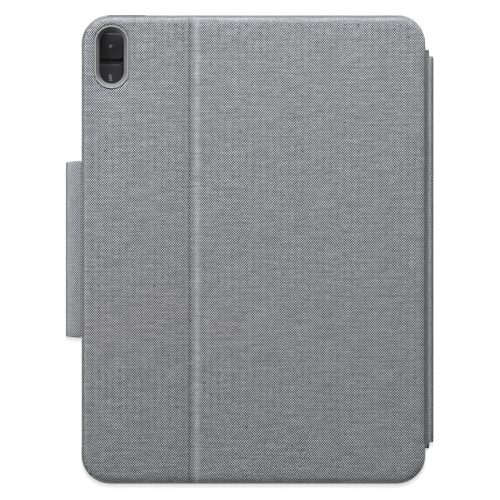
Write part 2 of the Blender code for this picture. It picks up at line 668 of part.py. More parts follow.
lining_low = BAY_TOP - SEAT - BAY_LINING
bay_lining = loft("bay_lining", [
    (bay_outline(LINING_INSET), lining_low),
    (bay_outline(LINING_INSET), lining_low + BAY_LINING),
], lining_cloth, tilt_axis)
window_lining = pill(WINDOW_X, WINDOW_Y,
                     window_inner[0] + 2.0 * LINING_WINDOW, window_inner[1] + 2.0 * LINING_WINDOW)
cut(bay_lining, loft("cut_window_lining", [
    (window_lining, lining_low - CUT_OVER),
    (window_lining, BAY_TOP + CUT_OVER),
]))

# Upper back panel and camera bezel
channel_left = FOLD_X - FOLD_CHANNEL / 2.0
channel_right = FOLD_X + FOLD_CHANNEL / 2.0
slit_left = FOLD_X - FOLD_SLIT / 2.0
slit_right = FOLD_X + FOLD_SLIT / 2.0
window_hole = pill(WINDOW_X, WINDOW_Y, WINDOW_WIDTH + 2.0 * SEAT, WINDOW_LENGTH + 2.0 * SEAT)
upper_outline = panel_outline(right=channel_left)
upper_board = loft("upper_board", [(upper_outline, LINING_Z), (upper_outline, BOARD_TOP)],
                   board_card, tilt_axis)
skin_outline = panel_outline(right=slit_left)
upper_fabric = loft("upper_fabric", [(skin_outline, SKIN_Z), (skin_outline, CASE_TOP)],
                    fabric, tilt_axis)
cut(upper_board, loft("cut_window_board", [(window_hole, TRAY_TOP), (window_hole, SKIN_Z)]))
cut(upper_fabric, loft("cut_window_fabric", [(window_hole, BOARD_TOP), (window_hole, CASE_TOP + CUT_OVER)]))

bezel_top = CASE_TOP + BEZEL_PROUD
window_outer = pill(WINDOW_X, WINDOW_Y, WINDOW_WIDTH, WINDOW_LENGTH)
bezel = loft("camera_bezel", [(window_outer, LINING_Z), (window_outer, bezel_top)],
             bezel_plastic, tilt_axis)
window_wide = pill(WINDOW_X, WINDOW_Y,
                   WINDOW_WIDTH - 2.0 * BEZEL_LIP, WINDOW_LENGTH - 2.0 * BEZEL_LIP)
cut(bezel, loft("cut_bezel", [
    (window_low, TRAY_TOP - CUT_OVER),
    (window_low, LINING_Z),
    (window_wide, bezel_top),
    (window_wide, bezel_top + CUT_OVER),
]))

bar_along_y("fold_strip", [
    (channel_left + SLIDE_FIT, LINING_Z),
    (channel_right - SLIDE_FIT, LINING_Z),
    (channel_right - SLIDE_FIT, BOARD_TOP),
    (channel_left + SLIDE_FIT, BOARD_TOP),
], -TOP + 2.0 * PANEL_INSET_END, TOP - 2.0 * PANEL_INSET_END, rubber, tilt_axis)

# Prop panel
prop_outline = panel_outline(left=channel_right)
prop_skin = panel_outline(left=slit_right)
loft("prop_lining", [(prop_outline, LINING_Z), (prop_outline, LINING_Z + PROP_LINING)],
     lining_cloth, fold_axis)
prop_board = loft("prop_board", [(prop_outline, BOARD_Z), (prop_outline, BOARD_TOP)],
                  board_card, fold_axis)
loft("prop_fabric", [(prop_skin, SKIN_Z), (prop_skin, CASE_TOP)], fabric, fold_axis)
prop_magnet_left = RIGHT - PROP_MAGNET_FROM_RIGHT
prop_magnet_x = (prop_magnet_left, prop_magnet_left + PROP_MAGNET_WIDTH)
for side, name in ((1.0, "prop_magnet_upper"), (-1.0, "prop_magnet_lower")):
    near = side * (TOP - PROP_MAGNET_FROM_END)
    far = near - side * MAGNET_LENGTH
    ys = (min(near, far), max(near, far))
    block(name, prop_magnet_x, ys, (BOARD_Z, BOARD_TOP), magnet_metal, fold_axis)
    cut(prop_board, block(
        "cut_" + name,
        (prop_magnet_x[0] - SEAT, prop_magnet_x[1] + SEAT),
        (ys[0] - SEAT, ys[1] + SEAT),
        (BOARD_Z - CUT_OVER, BOARD_TOP + CUT_OVER),
    ))

# Spine and its two hinge strips
spine_low = LOWER_HINGE_Z - SPINE_LOW
spine_top = CASE_TOP - SPINE_DROP
skin_outer = RIGHT + SPINE_REACH
skin_inner = skin_outer - SPINE_SKIN
board_outer = skin_inner - SEAT
board_inner = board_outer - SPINE_BOARD
half_spine = TOP - SPINE_FROM_END
half_strip = TOP - STRIP_FROM_END
bar_along_y("spine_fabric", [
    (skin_inner, spine_low),
    (skin_outer, spine_low),
    (skin_outer, spine_top - SPINE_EDGE),
    (skin_outer - SPINE_EDGE, spine_top),
    (board_inner, spine_top),
    (board_inner, spine_top - SPINE_SKIN),
    (skin_inner, spine_top - SPINE_SKIN),
], -half_spine, half_spine, fabric, spine_axis)
bar_along_y("spine_board", [
    (board_inner, spine_low),
    (board_outer, spine_low),
    (board_outer, spine_top - SPINE_SKIN - SEAT),
    (board_inner, spine_top - SPINE_SKIN - SEAT),
], -half_spine, half_spine, board_card, spine_axis)
strip_right = board_inner - SEAT
upper_hinge_z = CASE_TOP - STRIP_DROP
bar_along_y("upper_hinge_strip", [
    (RIGHT + SLIDE_FIT, upper_hinge_z - HINGE_STRIP),
    (strip_right, upper_hinge_z - HINGE_STRIP),
    (strip_right, upper_hinge_z),
    (RIGHT + SLIDE_FIT, upper_hinge_z),
], -half_strip, half_strip, rubber, spine_axis)
bar_along_y("lower_hinge_strip", [
    (RIGHT - BASE_INSET + SLIDE_FIT, LOWER_HINGE_Z - HINGE_STRIP / 2.0),
    (strip_right, LOWER_HINGE_Z - HINGE_STRIP / 2.0),
    (strip_right, LOWER_HINGE_Z + HINGE_STRIP / 2.0),
    (RIGHT - BASE_INSET + SLIDE_FIT, LOWER_HINGE_Z + HINGE_STRIP / 2.0),
], -half_strip, half_strip, rubber, spine_axis)

# Pen flap: a top strip on the panel edge and a side strip that reaches down to the latch
half_flap = FLAP_LENGTH / 2.0
flap_outer = LEFT - FLAP_REACH
bar_along_y("flap_top", [
    (flap_outer, FLAP_TOP - FLAP_THICKNESS),
    (FLAP_INNER, FLAP_TOP - FLAP_THICKNESS),
    (FLAP_INNER, FLAP_TOP),
    (flap_outer, FLAP_TOP),
], -half_flap, half_flap, fabric, flap_axis)


def flap_point(along, across):
    """Point on the leaning side strip, along it from the outer fold and across it inwards."""
    x = flap_outer + along * math.sin(FLAP_LEAN) + across * math.cos(FLAP_LEAN)
    z = FLAP_TOP - along * math.cos(FLAP_LEAN) + across * math.sin(FLAP_LEAN)
    return x, z


bar_along_y("flap_side", [
    flap_point(FLAP_SIDE_END, 0.0),
    flap_point(FLAP_SIDE_END, FLAP_THICKNESS),
    flap_point(FLAP_SIDE_START, FLAP_THICKNESS),
    flap_point(FLAP_SIDE_START, 0.0),
], -half_flap, half_flap, fabric, flap_side_axis)
magnet_start = FLAP_THICKNESS + SEAT
bar_along_y("flap_magnet", [
    flap_point(FLAP_SIDE_END, magnet_start),
    flap_point(FLAP_SIDE_END, magnet_start + FLAP_MAGNET),
    flap_point(FLAP_MAGNET_START, magnet_start + FLAP_MAGNET),
    flap_point(FLAP_MAGNET_START, magnet_start),
], -half_latch, half_latch, magnet_metal, flap_side_axis)
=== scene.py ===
"""Looks of the tablet keyboard case: cloth, plastics, keys, floor, light and camera."""
import math
from itertools import groupby

import bmesh
import bpy
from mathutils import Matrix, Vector
from mathutils.geometry import delaunay_2d_cdt


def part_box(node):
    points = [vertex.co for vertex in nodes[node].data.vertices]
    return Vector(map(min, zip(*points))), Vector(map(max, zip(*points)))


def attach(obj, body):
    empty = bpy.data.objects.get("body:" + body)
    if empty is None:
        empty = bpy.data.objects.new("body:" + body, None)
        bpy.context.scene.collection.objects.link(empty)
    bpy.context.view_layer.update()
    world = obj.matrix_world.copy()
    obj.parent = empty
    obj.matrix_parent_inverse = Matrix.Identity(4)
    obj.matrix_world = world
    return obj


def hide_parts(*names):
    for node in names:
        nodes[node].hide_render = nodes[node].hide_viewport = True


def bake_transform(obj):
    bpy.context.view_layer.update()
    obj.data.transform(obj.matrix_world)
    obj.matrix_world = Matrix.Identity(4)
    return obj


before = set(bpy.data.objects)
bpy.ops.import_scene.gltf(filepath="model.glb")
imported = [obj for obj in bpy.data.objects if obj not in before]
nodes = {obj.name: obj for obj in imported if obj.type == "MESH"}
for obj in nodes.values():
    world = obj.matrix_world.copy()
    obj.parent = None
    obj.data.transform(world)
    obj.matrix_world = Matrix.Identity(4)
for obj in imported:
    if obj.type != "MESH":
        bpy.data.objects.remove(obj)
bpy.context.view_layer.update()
MM = 0.001
QUARTER = math.pi / 2.0

# Places read from the frame, and the corner radius of the case
tray_low, tray_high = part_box("tablet_tray")
skin_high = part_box("upper_fabric")[1]
LEFT, RIGHT, TOP = tray_low.x, tray_high.x, tray_high.y
CASE_TOP = skin_high.z
FOLD_X = (skin_high.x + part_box("prop_fabric")[0].x) / 2.0
CASE_CORNER = 15.6 * MM

# Usual range of a noise, and how finely round outlines and rolled ends are drawn
NOISE_LOW, NOISE_HIGH = 0.3, 0.7
PILL_STEPS = 26
CORNER_STEPS = 5
ROLLED_ENDS = ((0.0, 0.3), (0.12, 0.62), (0.4, 0.88), (0.9, 1.0))


class Finish:
    """A procedural material under construction, laid out in object or cloth coordinates."""

    def __init__(self, name, roughness=0.5, metallic=0.0, cloth=False, **sockets):
        self.material = bpy.data.materials.new(name)
        self.material.use_nodes = True
        self.tree = self.material.node_tree
        self.shader = self.tree.nodes["Principled BSDF"]
        self.shader.inputs["Roughness"].default_value = roughness
        self.shader.inputs["Metallic"].default_value = metallic
        for socket, value in sockets.items():
            self.shader.inputs[socket.replace("_", " ")].default_value = value
        if cloth:
            layout = self.tree.nodes.new("ShaderNodeUVMap")
            layout.uv_map = "cloth"
            self.place = layout.outputs["UV"]
        else:
            self.place = self.tree.nodes.new("ShaderNodeTexCoord").outputs["Object"]

    def feed(self, socket, value):
        """Link a socket, or set a number or colour."""
        if isinstance(value, bpy.types.NodeSocket):
            self.tree.links.new(value, socket)
        else:
            socket.default_value = value

    def math(self, operation, first, second=0.0):
        """One arithmetic step."""
        step = self.tree.nodes.new("ShaderNodeMath")
        step.operation = operation
        self.feed(step.inputs[0], first)
        self.feed(step.inputs[1], second)
        return step.outputs[0]

    def stretched(self, scale):
        """Coordinates stretched by a scale along each axis."""
        step = self.tree.nodes.new("ShaderNodeMapping")
        step.inputs["Scale"].default_value = scale
        self.feed(step.inputs["Vector"], self.place)
        return step.outputs["Vector"]

    def noise(self, scale, detail=2.0, place=None, rough=0.5):
        """Noise between 0 and 1; the scale is in features per metre."""
        step = self.tree.nodes.new("ShaderNodeTexNoise")
        step.inputs["Scale"].default_value = scale
        step.inputs["Detail"].default_value = detail
        step.inputs["Roughness"].default_value = rough
        self.feed(step.inputs["Vector"], self.place if place is None else place)
        return step.outputs["Fac"]

    def cells(self, scale):
        """Distance to the edges of irregular cells."""
        step = self.tree.nodes.new("ShaderNodeTexVoronoi")
        step.feature = "DISTANCE_TO_EDGE"
        step.inputs["Scale"].default_value = scale
        self.feed(step.inputs["Vector"], self.place)
        return step.outputs["Distance"]

    def axes(self):
        """The coordinates one by one."""
        step = self.tree.nodes.new("ShaderNodeSeparateXYZ")
        self.feed(step.inputs[0], self.place)
        return step.outputs

    def span(self, value, low, high, to_low, to_high):
        """A value carried from one range to another."""
        step = self.tree.nodes.new("ShaderNodeMapRange")
        for socket, number in zip(step.inputs[1:5], (low, high, to_low, to_high)):
            socket.default_value = number
        self.feed(step.inputs[0], value)
        return step.outputs[0]

    def spread(self, noise, low, high):
        """The usual range of a noise carried to a range of values."""
        return self.span(noise, NOISE_LOW, NOISE_HIGH, low, high)

    def mix(self, factor, first, second, kind="MIX"):
        """Two colours mixed by a factor."""
        step = self.tree.nodes.new("ShaderNodeMix")
        step.data_type = "RGBA"
        step.blend_type = kind
        self.feed(step.inputs["Factor"], factor)
        for socket, value in zip(step.inputs[6:8], (first, second)):
            self.feed(socket, (*value, 1.0) if isinstance(value, tuple) else value)
        return step.outputs[2]

    def drifting(self, noise, colour, low, high):
        """A colour that drifts between a darker and a lighter share of itself."""
        return self.mix(self.spread(noise, 0.0, 1.0), shade(colour, low), shade(colour, high))

    def colour(self, value):
        """Give the shader its colour."""
        self.feed(self.shader.inputs["Base Color"], value)

    def rough(self, value):
        """Give the shader its roughness."""
        self.feed(self.shader.inputs["Roughness"], value)

    def bump(self, height, strength, distance):
        """Raise the surface by a height."""
        step = self.tree.nodes.new("ShaderNodeBump")
        step.inputs["Strength"].default_value = strength
        step.inputs["Distance"].default_value = distance
        self.feed(step.inputs["Height"], height)
        self.feed(self.shader.inputs["Normal"], step.outputs["Normal"])


def shade(colour, share):
    """A colour made lighter or darker."""
    return tuple(part * share for part in colour)


def woven(name, light, dark, warp_pitch, weft_pitch, streaks, lines=()):
    """Plain weave of a light and a dark yarn, uneven from yarn to yarn and streaked along the weft.
    Lines of painted shade and painted highlight are given as (axis, place, full reach, fading reach,
    share, fill)."""
    look = Finish(name, roughness=0.92, cloth=True, Sheen_Weight=0.1, Sheen_Roughness=0.6)
    axes = look.axes()
    sway = look.spread(look.noise(330.0, 2.0), -0.05 * MM, 0.05 * MM)
    turns = []
    for output, pitch in zip(axes, (warp_pitch, weft_pitch)):
        swayed = look.math("ADD", output, sway)
        turns.append(look.math("SINE", look.math("MULTIPLY", swayed, math.pi / pitch)))
    over = look.span(look.math("MULTIPLY", *turns), -0.31, -0.19, 0.0, 1.0)
    under = look.math("SUBTRACT", 1.0, over)

    def woven_from(warp, weft):
        """The value of whichever yarn lies on top."""
        return look.math("ADD", look.math("MULTIPLY", warp, over), look.math("MULTIPLY", weft, under))

    height = woven_from(look.math("ABSOLUTE", turns[0]), look.math("ABSOLUTE", turns[1]))
    weft_fleck = look.noise(1.0, 2.0, look.stretched((200.0, 1.0 / weft_pitch, 1.0)))
    warp_fleck = look.noise(1.0, 2.0, look.stretched((1.0 / warp_pitch, 90.0, 1.0)))
    tone = woven_from(look.spread(warp_fleck, 0.6, 1.4), look.spread(weft_fleck, 0.83, 1.17))
    streak = look.noise(1.0, 2.0, look.stretched((60.0, 600.0, 1.0)), 0.6)
    tone = look.math("MULTIPLY", tone, look.spread(streak, 1.0 - streaks, 1.0 + streaks))
    tone = look.math("MULTIPLY", tone, look.spread(look.noise(20.0, 3.0), 0.985, 1.015))
    yarn = look.mix(over, light, dark)
    # Each line is painted shade where its share is below 1 and painted highlight where it is above 1; its
    # fill flattens the weave towards one grey.
    for axis, place, full, fading, share, fill in lines:
        away = look.math("ABSOLUTE", look.math("SUBTRACT", axes[axis], place))
        tone = look.math("MULTIPLY", tone, look.span(away, full, fading, share, 1.0))
        if fill:
            yarn = look.mix(look.span(away, full, fading, fill, 0.0), yarn, shade(light, 0.42))
    grey = look.tree.nodes.new("ShaderNodeCombineColor")
    for socket in grey.inputs:
        look.feed(socket, tone)
    look.colour(look.mix(1.0, yarn, grey.outputs[0], "MULTIPLY"))
    look.rough(look.span(height, 0.0, 1.0, 0.98, 0.86))
    look.bump(height, 0.3, 0.16 * MM)
    return look.material


def moulded(name, colour, roughness, grain=2600.0, depth=0.02, drift=0.10, rim=None, **sockets):
    """Moulded plastic with a fine grain, slow drifts in tone and rubbed patches.
    A painted highlight along a rim is given as (height, reach below it, share)."""
    look = Finish(name, roughness, **sockets)
    slow = look.noise(38.0, 4.0)
    fine = look.noise(grain, 2.0)
    tone = look.drifting(slow, colour, 1.0 - drift, 1.0 + drift)
    tone = look.mix(look.span(fine, 0.62, 0.78, 0.0, 0.25), tone, shade(colour, 1.5))
    # Painted highlight: lighter towards the given height.
    if rim is not None:
        height, reach, share = rim
        near = look.span(look.axes()[2], height - reach, height, 0.0, 1.0)
        tone = look.mix(near, tone, shade(colour, share))
    look.colour(tone)
    rubbed = look.math("ADD", look.spread(slow, -0.06, 0.06), look.spread(fine, -0.05, 0.05))
    look.rough(look.math("ADD", rubbed, roughness))
    look.bump(fine, 0.35, depth * MM)
    return look.material


def grained(name, colour, roughness, size=0.9):
    """Soft-touch skin with a leather-like grain of small cells."""
    look = Finish(name, roughness)
    edge = look.cells(1000.0 / size)
    slow = look.noise(30.0, 4.0)
    crease = look.span(edge, 0.0, 0.16, 0.0, 1.0)
    tone = look.drifting(slow, colour, 0.9, 1.12)
    look.colour(look.mix(crease, shade(colour, 0.72), tone))
    look.rough(look.math("ADD", look.spread(slow, -0.07, 0.07), roughness))
    look.bump(look.math("ADD", crease, look.noise(4200.0, 2.0)), 0.4, 0.05 * MM)
    return look.material


def napped(name, colour, cloth=False):
    """Brushed lining with a short uneven nap."""
    look = Finish(name, 0.95, cloth=cloth, Sheen_Weight=0.35, Sheen_Roughness=0.5)
    fuzz = look.noise(3800.0, 3.0, None, 0.7)
    stroke = look.noise(1.0, 4.0, look.stretched((26.0, 70.0, 40.0)), 0.6)
    tone = look.drifting(stroke, colour, 0.78, 1.2)
    look.colour(look.mix(look.span(fuzz, 0.35, 0.75, 0.0, 0.55), tone, shade(colour, 1.75)))
    look.bump(look.math("ADD", fuzz, look.math("MULTIPLY", stroke, 0.6)), 0.5, 0.12 * MM)
    return look.material


def brushed(name, colour, roughness, stretch):
    """Brushed metal with fine lines along one direction and faint stains."""
    look = Finish(name, roughness, 1.0)
    lines = look.noise(1.0, 3.0, look.stretched(stretch), 0.6)
    stain = look.noise(55.0, 3.0)
    tone = look.drifting(lines, colour, 0.82, 1.08)
    look.colour(look.mix(look.span(stain, 0.55, 0.75, 0.0, 0.3), tone, shade(colour, 0.65)))
    look.rough(look.math("ADD", look.spread(lines, -0.08, 0.1), roughness))
    look.bump(lines, 0.2, 0.01 * MM)
    return look.material


def tracked(name, ground, track, pitch, roughness, width=0.3):
    """Sheet with thin straight tracks in two directions."""
    look = Finish(name, roughness)
    rows = []
    for output in look.axes()[:2]:
        wave = look.math("ABSOLUTE", look.math("SINE", look.math("MULTIPLY", output, math.pi / pitch)))
        rows.append(look.span(wave, 0.0, width, 1.0, 0.0))
    broken = look.span(look.noise(160.0, 1.0), 0.46, 0.52, 0.0, 1.0)
    lines = look.math("MAXIMUM", look.math("MULTIPLY", rows[0], broken),
                      look.math("MULTIPLY", rows[1], look.math("SUBTRACT", 1.0, broken)))
    look.colour(look.mix(lines, look.drifting(look.noise(45.0, 3.0), ground, 0.85, 1.1), track))
    look.rough(look.span(lines, 0.0, 1.0, roughness, roughness * 0.7))
    look.bump(lines, 0.3, 0.03 * MM)
    return look.material


def pressed_board(name, colour):
    """Stiff fibre board with flecks."""
    look = Finish(name, 0.88)
    fleck = look.noise(1.0, 4.0, look.stretched((900.0, 260.0, 900.0)), 0.7)
    slow = look.noise(50.0, 3.0)
    tone = look.drifting(slow, colour, 0.88, 1.1)
    look.colour(look.mix(look.span(fleck, 0.5, 0.72, 0.0, 0.6), tone, shade(colour, 0.6)))
    look.bump(fleck, 0.4, 0.05 * MM)
    return look.material


GROOVE_X = FOLD_X + 0.3 * MM
LIGHT_YARN = (0.832, 0.858, 0.914)
DARK_YARN = (0.010, 0.010, 0.013)
PITCHES = (0.635 * MM, 0.722 * MM)
# A lighter copy of the back's yarn: painted light for the cloths other than the back's.
LIT_COPY_YARN = shade(LIGHT_YARN, 1.09)
PLAIN_STREAKS = 0.06
BACK_STREAKS = 0.165
# Painted shade and highlights on the back cloth: painted shade in the fold's left wall, a painted
# highlight on its right rim, the top edge painted darker with a flatter weave, and painted highlights
# along the bottom, left and right edges.
PAINTED_FOLD_AND_EDGE_LIGHT = (
    (0, GROOVE_X - 1.95 * MM, 0.0, 1.1 * MM, 0.72, 0.0),
    (0, GROOVE_X + 2.4 * MM, 0.0, 2.2 * MM, 1.18, 0.5),
    (1, TOP - 2.2 * MM, 0.6 * MM, 2.4 * MM, 0.92, 0.6),
    (1, -TOP + 1.8 * MM, 0.6 * MM, 2.0 * MM, 1.08, 0.2),
    (0, LEFT + 2.2 * MM, 0.3 * MM, 0.9 * MM, 1.12, 0.2),
    (0, RIGHT - 0.9 * MM, 0.4 * MM, 1.8 * MM, 1.12, 0.1),
)
cloth_grey = woven("woven cloth", LIT_COPY_YARN, DARK_YARN, *PITCHES, PLAIN_STREAKS)
# The tape's yarn is darkened to 0.66 of the lighter yarn as painted shade.
cloth_tape_painted_shade = woven("woven cloth of the tape", shade(LIT_COPY_YARN, 0.66), DARK_YARN, *PITCHES, PLAIN_STREAKS)
cloth_back = woven("woven cloth of the back", LIGHT_YARN, DARK_YARN, *PITCHES, BACK_STREAKS, PAINTED_FOLD_AND_EDGE_LIGHT)
tray_soft = moulded("tray soft plastic", (0.27, 0.27, 0.28), 0.5)
shell_soft = moulded("shell plastic", (0.10, 0.10, 0.108), 0.55)
# The bezel's lip is painted lighter as a painted highlight along its top edge.
bezel_satin = moulded("bezel satin plastic", (0.205, 0.205, 0.213), 0.42, grain=3400.0, depth=0.012,
                      drift=0.06, rim=(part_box("camera_bezel")[1].z, 0.16 * MM, 2.1))
deck_skin = grained("deck skin", (0.060, 0.060, 0.066), 0.62)
rear_skin = grained("rear deck skin", (0.052, 0.052, 0.058), 0.66, 1.3)
key_matt = moulded("key plastic", (0.028, 0.028, 0.031), 0.48, grain=3000.0, depth=0.012, drift=0.14)
legend_print = moulded("key print", (0.62, 0.62, 0.63), 0.5, grain=5200.0, depth=0.004, drift=0.05)
lining_nap = napped("lining nap", (0.060, 0.060, 0.066), cloth=True)
hinge_skin = grained("hinge skin", (0.167, 0.168, 0.176), 0.55, 0.7)
rubber_matt = moulded("rubber", (0.035, 0.035, 0.038), 0.8, grain=1900.0, depth=0.03)
steel_brushed = brushed("brushed steel", (0.60, 0.60, 0.61), 0.32, (60.0, 5200.0, 5200.0))
magnet_plate = brushed("plated magnet", (0.52, 0.51, 0.49), 0.28, (2400.0, 500.0, 2400.0))
board_grey = pressed_board("stiff board", (0.25, 0.25, 0.26))
circuit_green = tracked("circuit board", (0.015, 0.10, 0.05), (0.10, 0.30, 0.14), 1.1 * MM, 0.42)
film_clear = tracked("switch film", (0.50, 0.49, 0.43), (0.16, 0.16, 0.16), 4.1 * MM, 0.35, 0.22)
light_clear = moulded("light window", (0.70, 0.75, 0.70), 0.2, grain=5000.0, depth=0.004, drift=0.04)


def add_piece(name, points, faces, finish, layout=None, smooth=True):
    """Object from points and faces; layout gives each face corner its place on the cloth."""
    mesh = bpy.data.meshes.new(name)
    mesh.from_pydata([tuple(point) for point in points], [], faces)
    if layout is not None:
        flat = mesh.uv_layers.new(name="cloth")
        for loop, place in zip(flat.data, layout):
            loop.uv = place
    mesh.polygons.foreach_set("use_smooth", [smooth] * len(mesh.polygons))
    mesh.materials.append(finish)
    item = bpy.data.objects.new(name, mesh)
    bpy.context.scene.collection.objects.link(item)
    return item


def discard(item):
    """Remove an object and its mesh."""
    mesh = item.data
    bpy.data.objects.remove(item)
    bpy.data.meshes.remove(mesh)


def settle(item):
    """Turn an object's modifiers into a plain mesh."""
    graph = bpy.context.evaluated_depsgraph_get()
    mesh = bpy.data.meshes.new_from_object(item.evaluated_get(graph))
    item.modifiers.clear()
    old = item.data
    item.data = mesh
    mesh.name = item.name
    bpy.data.meshes.remove(old)
    return item


def thicken(item, thickness):
    """Give a skin its thickness on its inner side."""
    layer = item.modifiers.new("thickness", "SOLIDIFY")
    layer.thickness = thickness
    layer.offset = -1.0
    layer.use_even_offset = True
    return settle(item)


def outline(box, inset, left_radius, right_radius, stops=(), steps=18):
    """Anticlockwise outline with round corners, extra points at the x stops on both ends,
    and the outward direction at each point."""
    x0, x1, y0, y1 = box[0] + inset, box[1] - inset, box[2] + inset, box[3] - inset
    corners = (
        (x1, y0, right_radius, -1, -1.0, 1.0),
        (x1, y1, right_radius, 0, -1.0, -1.0),
        (x0, y1, left_radius, 1, 1.0, -1.0),
        (x0, y0, left_radius, 2, 1.0, 1.0),
    )
    points = []
    for x, y, radius, quarter, to_x, to_y in corners:
        size = max(radius - inset, 0.05 * MM)
        for step in range(steps + 1):
            angle = QUARTER * (quarter + step / steps)
            out = (math.cos(angle), math.sin(angle))
            points.append((x + size * (to_x + out[0]), y + size * (to_y + out[1]), out))
        if quarter == 0:
            points.extend((stop, y1, (0.0, 1.0)) for stop in reversed(stops))
        if quarter == 2:
            points.extend((stop, y0, (0.0, -1.0)) for stop in stops)
    return points


def pill(x, y, width, length):
    """Anticlockwise outline with two round ends, long way along Y."""
    radius = width / 2.0
    reach = length / 2.0 - radius
    points = []
    for start, side in ((0.0, 1.0), (math.pi, -1.0)):
        for step in range(PILL_STEPS + 1):
            angle = start + math.pi * step / PILL_STEPS
            points.append((x + radius * math.cos(angle), y + side * reach + radius * math.sin(angle)))
    return points


def from_pill(x, y, middle_x, middle_y, width, length):
    """Distance of a point from a pill outline, below 0 inside it."""
    reach = length / 2.0 - width / 2.0
    over = max(abs(y - middle_y) - reach, 0.0)
    return math.hypot(x - middle_x, over) - width / 2.0


def ease(value, low, high):
    """Smooth step from 0 to 1."""
    share = min(max((value - low) / (high - low), 0.0), 1.0)
    return share * share * (3.0 - 2.0 * share)


def inside(x, y, box, left_radius, right_radius):
    """Distance of a point from the edge of a round-cornered box it lies in."""
    to_x = min(x - box[0], box[1] - x)
    to_y = min(y - box[2], box[3] - y)
    radius = left_radius if x - box[0] < box[1] - x else right_radius
    if to_x < radius and to_y < radius:
        return radius - math.hypot(radius - to_x, radius - to_y)
    return min(to_x, to_y)


def cover(name, box, radii, rim, top, finish, up=1.0, stops=(), sink=None, hole=None):
    """Sheet pulled over an edge: flat middle, round rim of (run, drop, depth) and an optional
    pill hole of (x, y, width, length, wall) with a pressed-in edge."""
    run, drop, depth = rim
    profile = []
    for step in range(8):
        angle = QUARTER * step / 7.0
        profile.append((run * (1.0 - math.sin(angle)), drop * (1.0 - math.cos(angle))))
    profile.append((0.0, depth))
    split = 4
    rings = [outline(box, inset, *radii, stops=stops) for inset, fall in profile]
    count = len(rings[0])
    flat_points = []
    edges = []
    for ring in reversed(rings[:split + 1]):
        first = len(flat_points)
        flat_points.extend((x, y) for x, y, out in ring)
        edges.extend((first + i, first + (i + 1) % count) for i in range(count))
    half = box[3] - run
    for stop in stops:
        flat_points.extend((stop, half * (step / 24.0 - 1.0)) for step in range(1, 48))
        column = [i for i, point in enumerate(flat_points) if abs(point[0] - stop) < 1e-9]
        column.sort(key=lambda i: flat_points[i][1])
        edges.extend(zip(column, column[1:]))
    loops = []
    if hole is not None:
        for grow in (0.0, 0.3, 0.65, 1.0, 1.3):
            first = len(flat_points)
            ring = pill(hole[0], hole[1], hole[2] + 2.0 * grow * MM, hole[3] + 2.0 * grow * MM)
            flat_points.extend(ring)
            edges.extend((first + i, first + (i + 1) % len(ring)) for i in range(len(ring)))
            loops.append((first, len(ring)))
    made = delaunay_2d_cdt([Vector(point) for point in flat_points], edges, [], 1, 1e-9)
    points = []
    layout = []
    for x, y in made[0]:
        fall = 0.0 if sink is None else sink(x, y)
        near = max(0.0, 1.0 - inside(x, y, box, *radii) / run)
        fall += drop * (1.0 - math.sqrt(1.0 - near * near))
        points.append((x, y, top - up * fall))
        layout.append((x, y))
    place = {}
    for index, sources in enumerate(made[3]):
        for source in sources:
            place[source] = index
    faces = []
    for face in made[2]:
        middle = [sum(made[0][i][axis] for i in face) / len(face) for axis in (0, 1)]
        if hole is None or from_pill(*middle, *hole[:4]) > 0.0:
            faces.append(tuple(face))
    before = [place[i] for i in range(count)]
    reach = 0.0
    for level in range(split + 1, len(profile)):
        reach += math.dist(profile[level], profile[level - 1])
        now = []
        for i, (x, y, out) in enumerate(rings[level]):
            base = rings[split][i]
            fall = profile[level][1]
            if sink is not None:
                fall += sink(base[0], base[1]) * max(0.0, (drop - fall) / (drop - profile[split][1]))
            now.append(len(points))
            points.append((x, y, top - up * fall))
            layout.append((base[0] + out[0] * reach, base[1] + out[1] * reach))
        for i in range(count):
            j = (i + 1) % count
            faces.append((before[i], now[i], now[j], before[j]))
        before = now
    if hole is not None:
        first, size = loops[0]
        before = [place[first + i] for i in range(size)]
        now = []
        for index in before:
            x, y, z = points[index]
            now.append(len(points))
            points.append((x, y, z - up * hole[4]))
            layout.append((x + (hole[0] - x) * 0.1, y + (hole[1] - y) * 0.1))
        for i in range(size):
            j = (i + 1) % size
            faces.append((before[j], now[j], now[i], before[i]))
    if up < 0.0:
        faces = [tuple(reversed(face)) for face in faces]
    corners = [layout[index] for face in faces for index in face]
    return add_piece(name, points, faces, finish, corners)


def face_out(item):
    """Turn the faces of a closed piece outwards."""
    work = bmesh.new()
    work.from_mesh(item.data)
    bmesh.ops.recalc_face_normals(work, faces=work.faces)
    work.to_mesh(item.data)
    work.free()
    return item


def swept(name, stations, finish):
    """Closed bar through loops of points, capped at both ends and laid out as cloth."""
    count = len(stations[0])
    middle = stations[len(stations) // 2]
    around = [0.0]
    for i in range(count):
        around.append(around[-1] + math.dist(middle[i], middle[(i + 1) % count]))
    points = [point for loop in stations for point in loop]
    faces = []
    layout = []
    here = 0.0
    for level in range(len(stations) - 1):
        base = level * count
        there = here + math.dist(stations[level][0], stations[level + 1][0])
        for i in range(count):
            j = (i + 1) % count
            faces.append((base + i, base + j, base + count + j, base + count + i))
            turns = (around[i], around[i + 1], around[i + 1], around[i])
            layout.extend(zip(turns, (here, here, there, there)))
        here = there
    for base in (0, len(points) - count):
        faces.append(tuple(range(base, base + count)))
        layout.extend((points[index][0], points[index][2]) for index in faces[-1])
    return face_out(add_piece(name, points, faces, finish, layout))


